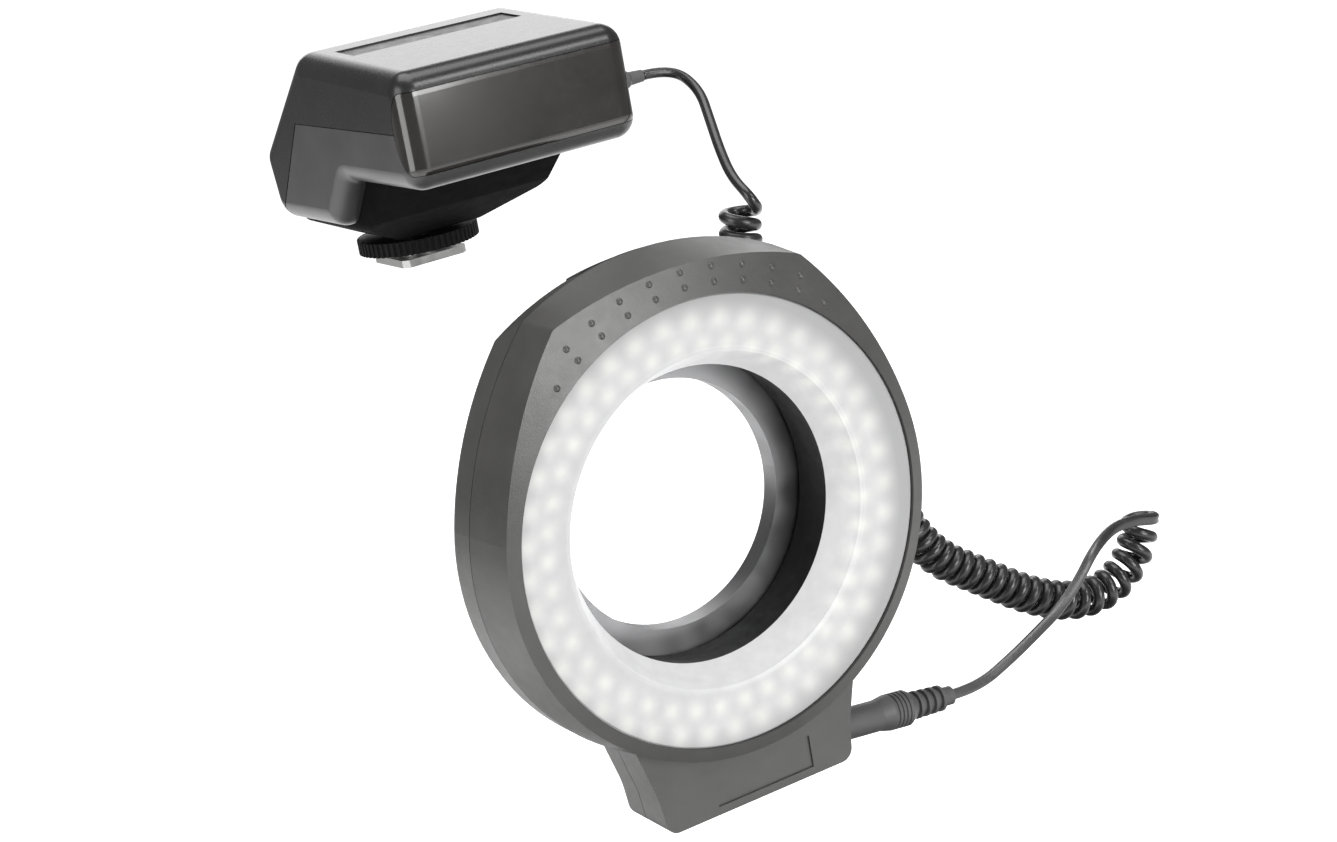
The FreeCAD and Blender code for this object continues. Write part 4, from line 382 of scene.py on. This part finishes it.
anodised = turned_metal("anodised", (0.27, 0.27, 0.275), 0.38, 0.35)
steel = plain_metal("steel", (0.42, 0.42, 0.41), 0.34, size_mm=1.5)
nickel = plain_metal("nickel", (0.62, 0.61, 0.58), 0.2)
print("metals ready")

# %% [markdown]
# Circuit boards. The light board is white so that it throws light forward; the driver and switch boards are
# green. A board's mask is glossy and shows faint tracks beneath it. A brick texture with rows of about 2 mm
# and thin lines stands for the tracks, which is plenty for pieces inside the casings.

# %% Circuit boards
BRICK_SCALE = 120.0


def board_mask(name, colour, track):
    """Solder mask with tracks that show faintly through it."""
    material, tree_of, shader_node, place = new_finish(name, colour, 0.32)
    brick = tree_of.nodes.new("ShaderNodeTexBrick")
    brick.inputs["Scale"].default_value = BRICK_SCALE
    brick.inputs["Mortar Size"].default_value = 0.06
    brick.inputs["Color1"].default_value = (*colour, 1.0)
    brick.inputs["Color2"].default_value = (*[c * 0.92 for c in colour], 1.0)
    brick.inputs["Mortar"].default_value = (*track, 1.0)
    tree_of.links.new(place, brick.inputs["Vector"])
    tree_of.links.new(brick.outputs["Color"], shader_node.inputs["Base Color"])
    add_bump(tree_of, brick.outputs["Fac"], 0.02, shader_node)
    return material


white_board = board_mask("white_board", (0.72, 0.73, 0.71), (0.6, 0.6, 0.56))
green_board = board_mask("green_board", (0.03, 0.12, 0.06), (0.08, 0.2, 0.09))
cell_wrap = moulded("cell_wrap", (0.05, 0.06, 0.075), 0.25, grain_mm=1.2, grain_depth=0.004)
print("boards ready")

# %% [markdown]
# Light emitters. The LEDs are on. Each is clear resin over a bright chip, so the material shines evenly, in a
# slightly warm white. The pilot lamp is red resin, lit faintly from inside.

# %% LEDs and pilot lamp
LED_STRENGTH = 2.5
PILOT_STRENGTH = 0.35
led_resin, tree_of, shader_node, place = new_finish("led_resin", (0.9, 0.9, 0.82), 0.15)
glow = add_noise(tree_of, place, 2.0)
warm = add_mix(tree_of, glow, (1.0, 0.98, 0.86), (1.0, 1.0, 0.95))
tree_of.links.new(warm, shader_node.inputs["Emission Color"])
shader_node.inputs["Emission Strength"].default_value = LED_STRENGTH
lamp_resin, tree_of, shader_node, place = new_finish("lamp_resin", (0.5, 0.03, 0.02), 0.12, coat=0.6)
core = add_noise(tree_of, place, 1.0)
red = add_mix(tree_of, core, (0.6, 0.03, 0.02), (0.9, 0.10, 0.05))
tree_of.links.new(red, shader_node.inputs["Emission Color"])
shader_node.inputs["Emission Strength"].default_value = PILOT_STRENGTH
print("emitters ready")

# %% [markdown]
# The diffuser is the piece that everyone looks at: a frosted shell over eighty LEDs in two rings. Each LED
# shows as a soft bright spot, a little warmer than the haze round it, and the spots of the two rings lie
# between each other. Real scattering would be noisy and slow. Instead the spots are drawn by arithmetic on
# the object's coordinates: the angle about the axis picks the nearest LED, and the distance to it fades the
# glow. The LEDs lie deep behind the shell, so from the picture's side their glow sits a little to the left
# of them. The shift was set for that side, and from others the glow is a little off. The inner cone
# and the outermost edge of the shell glow a little more than its face. On the inner cone that extra glow is
# painted light: the cone faces inward and catches little of the lamps.

# %% Frosted, lit plastic
LED_COUNT = 40
INNER_ROW = 42.0
INNER_START = 1.1
INNER_SPREAD = 1.5
OUTER_ROW = 47.6
OUTER_START = 4.9
OUTER_SPREAD = 1.7
DEEP_ASIDE = 3.0
DEEP_DOWN = 0.6
HAZE_EDGE = 51.8
HAZE_FULL = 46.2
CONE_FOOT = 38.5
CONE_TOP = 40.2
CONE_PAINTED_LIGHT = 1.65
RIM_START = 52.3
RIM_END = 52.9
RIM_LEVEL = 0.22
LEAST_LEVEL = 0.05
HAZE_LEVEL = 0.23
SPOT_LEVEL = 0.17


def add_math(tree_of, operation, first, second=None):
    """One arithmetic node; each input is a number or another node's output."""
    node = tree_of.nodes.new("ShaderNodeMath")
    node.operation = operation
    for index, item in enumerate((first, second)):
        if item is None:
            continue
        if isinstance(item, (int, float)):
            node.inputs[index].default_value = float(item)
        else:
            tree_of.links.new(item, node.inputs[index])
    return node.outputs["Value"]


def add_led_glow(tree_of, radius, angle, ring_mm, start_degrees, spread_mm):
    """A ring of soft spots: one where there is an LED, fading with distance."""
    step = 2.0 * math.pi / LED_COUNT
    shifted = add_math(tree_of, "SUBTRACT", angle, math.radians(start_degrees) - step / 2)
    wrapped = add_math(tree_of, "WRAP", shifted, step)
    tree_of.nodes[-1].inputs[2].default_value = 0.0
    off = add_math(tree_of, "SUBTRACT", wrapped, step / 2)
    along = add_math(tree_of, "MULTIPLY", off, radius)
    across = add_math(tree_of, "SUBTRACT", radius, ring_mm * MM)
    square = add_math(tree_of, "ADD", add_math(tree_of, "MULTIPLY", along, along),
                      add_math(tree_of, "MULTIPLY", across, across))
    scaled = add_math(tree_of, "DIVIDE", square, -2.0 * (spread_mm * MM) ** 2)
    return add_math(tree_of, "EXPONENT", scaled)


frosted_light, tree_of, shader_node, place = new_finish("frosted_light", (0.30, 0.30, 0.30), 0.42)
split = tree_of.nodes.new("ShaderNodeSeparateXYZ")
tree_of.links.new(place, split.inputs["Vector"])


def add_radius(tree_of, x, z):
    """The distance from the axis."""
    return add_math(tree_of, "SQRT", add_math(tree_of, "ADD", add_math(tree_of, "MULTIPLY", x, x),
                                              add_math(tree_of, "MULTIPLY", z, z)))


surface = add_radius(tree_of, split.outputs["X"], split.outputs["Z"])
x_deep = add_math(tree_of, "ADD", split.outputs["X"], DEEP_ASIDE * MM)
z_deep = add_math(tree_of, "ADD", split.outputs["Z"], DEEP_DOWN * MM)
radius = add_radius(tree_of, x_deep, z_deep)
angle = add_math(tree_of, "ARCTAN2", z_deep, x_deep)
inner_glow = add_led_glow(tree_of, radius, angle, INNER_ROW, INNER_START, INNER_SPREAD)
outer_glow = add_led_glow(tree_of, radius, angle, OUTER_ROW, OUTER_START, OUTER_SPREAD)
spots = add_math(tree_of, "ADD", inner_glow, outer_glow)
haze = add_range(tree_of, radius, HAZE_EDGE * MM, HAZE_FULL * MM, 0.0, 1.0)
# Painted light: the inner cone glows more, as it catches little of the lamps.
cone = add_range(tree_of, surface, CONE_FOOT * MM, CONE_TOP * MM, CONE_PAINTED_LIGHT, 1.0)
rim = add_range(tree_of, surface, RIM_START * MM, RIM_END * MM, 0.0, RIM_LEVEL)
even = add_math(tree_of, "MULTIPLY", haze, cone)
patchy = add_noise(tree_of, place, 4.0, detail=3.0)
ripple = add_range(tree_of, patchy, 0.3, 0.7, 0.9, 1.1)
base_glow = add_math(tree_of, "MULTIPLY", even, HAZE_LEVEL)
spot_glow = add_math(tree_of, "MULTIPLY", spots, SPOT_LEVEL)
total = add_math(tree_of, "ADD", base_glow, spot_glow)
strength = add_math(tree_of, "MULTIPLY", total, ripple)
strength = add_math(tree_of, "ADD", strength, add_math(tree_of, "ADD", rim, LEAST_LEVEL))
warmth = add_range(tree_of, spots, 0.0, 1.0, 0.0, 1.0)
warm = add_mix(tree_of, warmth, (0.985, 0.985, 1.0), (1.0, 1.0, 0.93))
tree_of.links.new(warm, shader_node.inputs["Emission Color"])
tree_of.links.new(strength, shader_node.inputs["Emission Strength"])
frost = add_noise(tree_of, place, 0.25, detail=2.0)
add_bump(tree_of, frost, 0.01, shader_node)
print("frosted light ready, nodes", len(tree_of.nodes))

# %% [markdown]
# Cord skin. The jacket is glossy flexible plastic. It catches a highlight along every curl, broken by a faint
# unevenness from the extruder. A fine noise and a low roughness do it. The straight tail gets a paler grey
# than the curls. It stands for the long highlight that the picture shows there, and isn't a colour of its
# own. The tail lies further forward than the curls, so the place from front to back tells one from the other.

# %% Cord skin
TAIL_BACK = (20.5 - RING_DEPTH) * MM
TAIL_FRONT = (18.0 - RING_DEPTH) * MM
TAIL_TONE = 0.06
cord_skin, tree_of, shader_node, place = new_finish("cord_skin", (0.022, 0.022, 0.022), 0.24, specular=0.55)
drawn = add_noise(tree_of, place, 1.1, detail=3.0)
add_bump(tree_of, drawn, 0.02, shader_node)
wide = add_noise(tree_of, place, 6.0)
tree_of.links.new(add_range(tree_of, wide, 0.35, 0.65, 0.24, 0.32), shader_node.inputs["Roughness"])
worn = add_mix(tree_of, wide, (0.016, 0.016, 0.016), (0.024, 0.024, 0.024))
depth = tree_of.nodes.new("ShaderNodeSeparateXYZ")
tree_of.links.new(place, depth.inputs["Vector"])
straight = add_range(tree_of, depth.outputs["Y"], TAIL_BACK, TAIL_FRONT, 0.0, 1.0)
toned = tree_of.nodes.new("ShaderNodeMix")
toned.data_type = "RGBA"
toned.inputs[7].default_value = (TAIL_TONE, TAIL_TONE, TAIL_TONE, 1.0)
tree_of.links.new(straight, toned.inputs[0])
tree_of.links.new(worn, toned.inputs[6])
tree_of.links.new(toned.outputs[2], shader_node.inputs["Base Color"])
print("cord skin ready")

# %% [markdown]
# Every node of the frame gets its finish. The node keeps its mesh; only its material slot changes. One
# table from node to finish is the plainest way, and it shows at a glance if a piece was forgotten.

# %% Finish of each node
FINISHES = {
    "front_shell": ring_plastic,
    "rear_shell": ring_plastic,
    "diffuser": frosted_light,
    "bore_sleeve": bore_plastic,
    "adapter_ring": anodised,
    "light_board": white_board,
    "led_inner_row": led_resin,
    "led_outer_row": led_resin,
    "latch_plate": steel,
    "release_button": key_plastic,
    "release_springs": steel,
    "ring_screws": steel,
    "power_socket": inner_plastic,
    "plug": plug_rubber,
    "plug_tip": nickel,
    "plug_boot": plug_rubber,
    "cord_coil": cord_skin,
    "cord_lead": cord_skin,
    "cord_tail": cord_skin,
    "upper_casing": unit_plastic,
    "lower_casing": lower_plastic_painted_light,
    "front_panel": smoked_gloss,
    "top_band": key_plastic,
    "battery_door": unit_plastic,
    "door_hinge_pin": steel,
    "cells": cell_wrap,
    "cell_box": inner_plastic,
    "cell_contacts": nickel,
    "door_contacts": nickel,
    "control_plate": key_plastic,
    "power_switch": key_plastic,
    "half_selector": key_plastic,
    "brightness_dial": wheel_plastic,
    "pilot_lamp": lamp_resin,
    "switch_board": green_board,
    "driver_board": green_board,
    "unit_screws": steel,
    "foot_block": block_plastic_painted_shade,
    "shoe_foot": steel,
    "clamp_washer": steel,
    "locking_wheel": wheel_plastic,
    "lead_boot": plug_rubber,
}
for name, finish in FINISHES.items():
    nodes[name].data.materials.clear()
    nodes[name].data.materials.append(finish)
print("nodes without a finish", sorted(set(nodes) - set(FINISHES)))

# %% [markdown]
# Cord, part one: the route. The cord leaves the control unit, hooks into its curls, runs behind the ring,
# comes out on the right, and ends in a twin lead that goes to the plug. Three smooth splines carry it:
# the lead, the axis of the curls, and the tail. Each is a NURBS curve through listed control points, as
# one would draw it; order three keeps it close to them. Its points are read back from the spline itself.

# %% Routes
LEAD_ROUTE = [
    (40.0, 72.0, 90.6),
    (48.8, 72.0, 90.6),
    (51.8, 65.5, 85.0),
    (47.6, 56.0, 78.3),
    (44.3, 48.5, 72.5),
    (42.3, 42.0, 66.6),
]
COIL_ROUTE = [
    (43.4, 42.0, 58.4),
    (41.5, 42.0, 51.0),
    (42.5, 41.2, 42.0),
    (47.5, 39.5, 31.0),
    (57.0, 38.0, 18.5),
    (66.0, 39.5, 4.5),
    (71.5, 41.6, -11.4),
    (74.8, 42.6, -29.3),
    (81.8, 39.6, -43.4),
    (93.3, 35.0, -51.8),
    (104.6, 31.0, -60.2),
    (116.1, 28.4, -65.3),
    (127.9, 27.5, -65.5),
    (136.5, 27.0, -60.0),
    (140.6, 27.2, -52.8),
    (141.0, 26.5, -48.4),
]
TAIL_ROUTE = [
    (84.2, 14.8, -66.3),
    (94.0, 16.0, -63.2),
    (103.0, 17.2, -60.2),
    (111.0, 18.2, -55.4),
    (118.6, 19.6, -49.3),
    (127.5, 22.2, -46.9),
]


def read_route(name, points):
    """Lays a NURBS spline through control points and reads its points back."""
    curve = bpy.data.curves.new(name, "CURVE")
    curve.dimensions = "3D"
    curve.resolution_u = 24
    spline = curve.splines.new("NURBS")
    spline.points.add(len(points) - 1)
    for item, point in zip(spline.points, points):
        item.co = (*point, 1.0)
    spline.order_u = 3
    spline.use_endpoint_u = True
    holder = bpy.data.objects.new(name, curve)
    scene.collection.objects.link(holder)
    bpy.context.view_layer.update()
    line = bpy.data.meshes.new_from_object(holder)
    found = [vertex.co.copy() for vertex in line.vertices]
    bpy.data.objects.remove(holder)
    bpy.data.meshes.remove(line)
    return found


coil_axis = read_route("coil_axis", [ring_point(*point) for point in COIL_ROUTE])
axis_length = sum((b - a).length for a, b in zip(coil_axis, coil_axis[1:]))
print("coil axis", len(coil_axis), "points,", round(axis_length * 1000, 1), "mm")

# %% [markdown]
# Cord, part two: the curls. A helix is wound left-handed about the axis. A direction square to the axis is
# carried along it without twisting, and the strand stands out from the axis along that direction, turned a
# little further at each step. The curls lie closest on the run beside the ring and open a little round the
# last bend, as they do in the picture, so the winding is denser or thinner by place. Their number was set
# beside the picture, as far as the length of the imported cord allows. It is a whole number of turns and
# the part that lets the last curl face forward.

# %% Curls
CURL_RADIUS = 3.75
START_PHASE = -32.0
WHOLE_TURNS = 48
STEPS_PER_TURN = 28
AXIS_STEPS = 900
END_FACING = Vector((0.1, -1.0, 0.0))
PACKED_PLACE = 0.64
PACKED_SPREAD = 0.14
PACKED_MORE = 0.17
OPEN_RUN = 44.0
OPEN_RATE = 1.4
OPEN_LESS = 0.25


def resample(points, count):
    """Evenly spaced points along a line, with the direction at each."""
    lengths = [0.0]
    for first, second in zip(points, points[1:]):
        lengths.append(lengths[-1] + (second - first).length)
    found = []
    cursor = 0
    for index in range(count + 1):
        target = lengths[-1] * index / count
        while cursor < len(points) - 2 and lengths[cursor + 1] < target:
            cursor += 1
        share = (target - lengths[cursor]) / (lengths[cursor + 1] - lengths[cursor])
        found.append(points[cursor].lerp(points[cursor + 1], share))
    ways = []
    for index in range(count + 1):
        before = found[max(index - 1, 0)]
        after = found[min(index + 1, count)]
        ways.append((after - before).normalized())
    return found, ways


def wind_curls(axis_points):
    """The strand of the curls and, for each point, the direction that faces out."""
    count = AXIS_STEPS
    centres, ways = resample(axis_points, count)
    length = sum((b - a).length for a, b in zip(centres, centres[1:]))
    opening = length - OPEN_RUN * MM
    phase = math.radians(START_PHASE)
    side = Vector((math.cos(phase), math.sin(phase), 0.0))
    side = (side - ways[0] * side.dot(ways[0])).normalized()
    sides = [side]
    weights = [0.0]
    for index in range(1, count + 1):
        side = ways[index - 1].rotation_difference(ways[index]) @ side
        side = (side - ways[index] * side.dot(ways[index])).normalized()
        sides.append(side)
        share = index / count
        loose = min(1.0, max(0.0, (share * length - opening) / (length - opening)) * OPEN_RATE)
        packed = (share - PACKED_PLACE) / PACKED_SPREAD
        density = 1.0 + PACKED_MORE * math.exp(-packed ** 2)
        weights.append(weights[-1] + density / (1.0 + OPEN_LESS * loose))
    end_across = ways[-1].cross(sides[-1])
    facing = math.atan2(END_FACING.dot(end_across), END_FACING.dot(sides[-1]))
    turns = WHOLE_TURNS + (-facing / (2.0 * math.pi)) % 1.0
    steps = int(round(turns * STEPS_PER_TURN))
    strand = []
    outs = []
    cursor = 0
    for step in range(steps + 1):
        target = weights[-1] * step / steps
        while cursor < count - 1 and weights[cursor + 1] < target:
            cursor += 1
        share = (target - weights[cursor]) / (weights[cursor + 1] - weights[cursor])
        centre = centres[cursor].lerp(centres[cursor + 1], share)
        way = ways[cursor].lerp(ways[cursor + 1], share).normalized()
        side = sides[cursor].lerp(sides[cursor + 1], share)
        side = (side - way * side.dot(way)).normalized()
        turned = -2.0 * math.pi * turns * step / steps
        outward = side * math.cos(turned) + way.cross(side) * math.sin(turned)
        strand.append(centre + outward * CURL_RADIUS * MM)
        outs.append(outward)
    return strand, outs, turns


strand, outs, turns = wind_curls(coil_axis)
print("curls", round(turns, 2), "turns, strand",
      round(sum((b - a).length for a, b in zip(strand, strand[1:])) * 1000), "mm")

# %% [markdown]
# Cord, part three: lead and tail. Both meet the curls in line with the strand, so their last control points
# lie on the strand's own direction. The lead makes a tight hook into the first curl. The tail leaves the
# front of the last curl, swings over to the left and drops to the plug. It ends where the plug's boot does,
# which follows from the plug's own lengths, counted from the face of the socket.

# %% Lead and tail
HOOK_RUN = 3.6
START_RUN = 2.5
LEAVE_RUN = 2.5
LEAVE_REACH = 7.5
BOOT_RUN = 8.4
PLUG_GAP = 1.6
PLUG_LENGTH = 22.5
BOOT_LENGTH = 12.2
SOCKET_SLOPE = math.radians(7.0)
SOCKET_FACE = ring_point(27.4, 14.0, -64.4)
start_way = (strand[1] * 4 - strand[0] * 3 - strand[2]).normalized()
end_way = (strand[-1] * 3 - strand[-2] * 4 + strand[-3]).normalized()
lead_points = [ring_point(*point) for point in LEAD_ROUTE]
lead_in = strand[0] - start_way * START_RUN * MM
hook_end = lead_in - start_way * HOOK_RUN * MM
down = (hook_end - lead_points[-1]).normalized()
middle = (down + start_way).normalized()
lead_points += [hook_end - middle * HOOK_RUN * MM, hook_end, lead_in, strand[0]]
lead_line = read_route("lead", lead_points)
socket_way = Vector((math.cos(SOCKET_SLOPE), 0.0, -math.sin(SOCKET_SLOPE)))
boot_end = SOCKET_FACE + socket_way * (PLUG_GAP + PLUG_LENGTH + BOOT_LENGTH) * MM
tail_points = [strand[-1], strand[-1] + end_way * LEAVE_RUN * MM, strand[-1] + end_way * LEAVE_REACH * MM]
tail_points += [ring_point(*point) for point in reversed(TAIL_ROUTE)]
tail_points += [boot_end + socket_way * BOOT_RUN * MM, boot_end]
tail_line = read_route("tail", tail_points)
print("lead", len(lead_line), "tail", len(tail_line))

# %% [markdown]
# Cord, part four: the skin. The three lines become one path, and a section is carried along it. Round in
# the lead and in all but the last curl, it turns into two lobes side by side in the tail, where the two cores
# run next to each other with a groove between them. The groove faces the front, so the section is turned to
# a chosen direction at every point instead of being left to twist. The curls are drawn thicker than the
# straight ends, because they look so in the picture. That needs a mesh and not a beveled curve.

# %% Cord skin mesh
CORD_DIAMETER = 2.5
CURL_DIAMETER = 3.0
CURL_THICKNESS = CURL_DIAMETER / CORD_DIAMETER
SIDES = 16
LEAD_STEPS = 90
LEAD_STRAIGHT = 0.8
TAIL_STEPS = 110
TAIL_CHANGE = 30
LAST_CURL_CHANGE = 0.8
LAST_CURL_TWIN = 0.6
LOBE_REACH = 0.78
LOBE_PLACE = 0.62
LOBE_WIDTH = 0.46
GROOVE_DEPTH = 0.42
GROOVE_WIDTH = 0.28
ALMOST_NONE = 1e-9
toward_front = Vector((camera_back.x, camera_back.y, 0.25)).normalized()


def join_lines():
    """One path through lead, curls and tail: for each point its facing, how twin it is, and how thick."""
    path_points = []
    facings = []
    twins = []
    sizes_along = []
    lead_even = resample(lead_line, LEAD_STEPS)[0]
    for index, point in enumerate(lead_even[:-1]):
        share = index / LEAD_STEPS
        near_curl = max(0.0, (share - LEAD_STRAIGHT) / (1.0 - LEAD_STRAIGHT))
        path_points.append(point)
        facings.append(toward_front.lerp(outs[0], near_curl))
        twins.append(0.0)
        sizes_along.append(1.0 + (CURL_THICKNESS - 1.0) * near_curl)
    for index, (point, outward) in enumerate(zip(strand, outs)):
        left = (len(strand) - 1 - index) / STEPS_PER_TURN
        path_points.append(point)
        facings.append(outward)
        twins.append(max(0.0, 1.0 - left / LAST_CURL_CHANGE) * LAST_CURL_TWIN)
        sizes_along.append(CURL_THICKNESS)
    tail_even = resample(tail_line, TAIL_STEPS)[0]
    for index, point in enumerate(tail_even[1:], start=1):
        share = min(1.0, index / TAIL_CHANGE)
        path_points.append(point)
        facings.append(outs[-1].lerp(toward_front, share))
        twins.append(LAST_CURL_TWIN + (1.0 - LAST_CURL_TWIN) * share)
        sizes_along.append(CURL_THICKNESS + (1.0 - CURL_THICKNESS) * share)
    return path_points, facings, twins, sizes_along


def twin_section(turned, twin, size):
    """A point of the section: toward the groove's side and across. Its shape is in shares of its half."""
    half = CORD_DIAMETER / 2 * MM * size
    round_out = math.cos(turned) * half
    round_across = math.sin(turned) * half
    centre = math.copysign(LOBE_PLACE * half, round_across) if abs(round_across) > ALMOST_NONE else 0.0
    twin_across = centre + round_across * LOBE_WIDTH
    dip = 1.0 - GROOVE_DEPTH * math.exp(-(twin_across / (GROOVE_WIDTH * half)) ** 2)
    twin_out = round_out * LOBE_REACH * dip
    return (round_out * (1 - twin) + twin_out * twin, round_across * (1 - twin) + twin_across * twin)


def sweep(name, path_points, facings, twins, sizes_along):
    """A closed tube along a path."""
    vertices = []
    faces = []
    count = len(path_points)
    for index, point in enumerate(path_points):
        before = path_points[max(index - 1, 0)]
        after = path_points[min(index + 1, count - 1)]
        way = (after - before).normalized()
        outward = facings[index]
        outward = (outward - way * outward.dot(way)).normalized()
        across = way.cross(outward)
        for corner in range(SIDES):
            u, v = twin_section(2.0 * math.pi * corner / SIDES, twins[index], sizes_along[index])
            vertices.append(point + outward * u + across * v)
    for index in range(count - 1):
        for corner in range(SIDES):
            a = index * SIDES + corner
            b = index * SIDES + (corner + 1) % SIDES
            faces.append((a, b, b + SIDES, a + SIDES))
    faces.append(tuple(reversed(range(SIDES))))
    faces.append(tuple(range((count - 1) * SIDES, count * SIDES)))
    mesh = bpy.data.meshes.new(name)
    mesh.from_pydata([tuple(v) for v in vertices], [], faces)
    piece = bpy.data.objects.new(name, mesh)
    scene.collection.objects.link(piece)
    bpy.ops.object.select_all(action="DESELECT")
    piece.select_set(True)
    bpy.context.view_layer.objects.active = piece
    bpy.ops.object.mode_set(mode="EDIT")
    bpy.ops.mesh.select_all(action="SELECT")
    bpy.ops.mesh.normals_make_consistent(inside=False)
    bpy.ops.object.mode_set(mode="OBJECT")
    bpy.ops.object.shade_smooth()
    return piece


cord_points, cord_facings, cord_twins, cord_sizes = join_lines()
curly_cord = sweep("curly_cord", cord_points, cord_facings, cord_twins, cord_sizes)
curly_cord.data.materials.append(cord_skin)
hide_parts("cord_lead", "cord_coil", "cord_tail")
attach(curly_cord, "light")
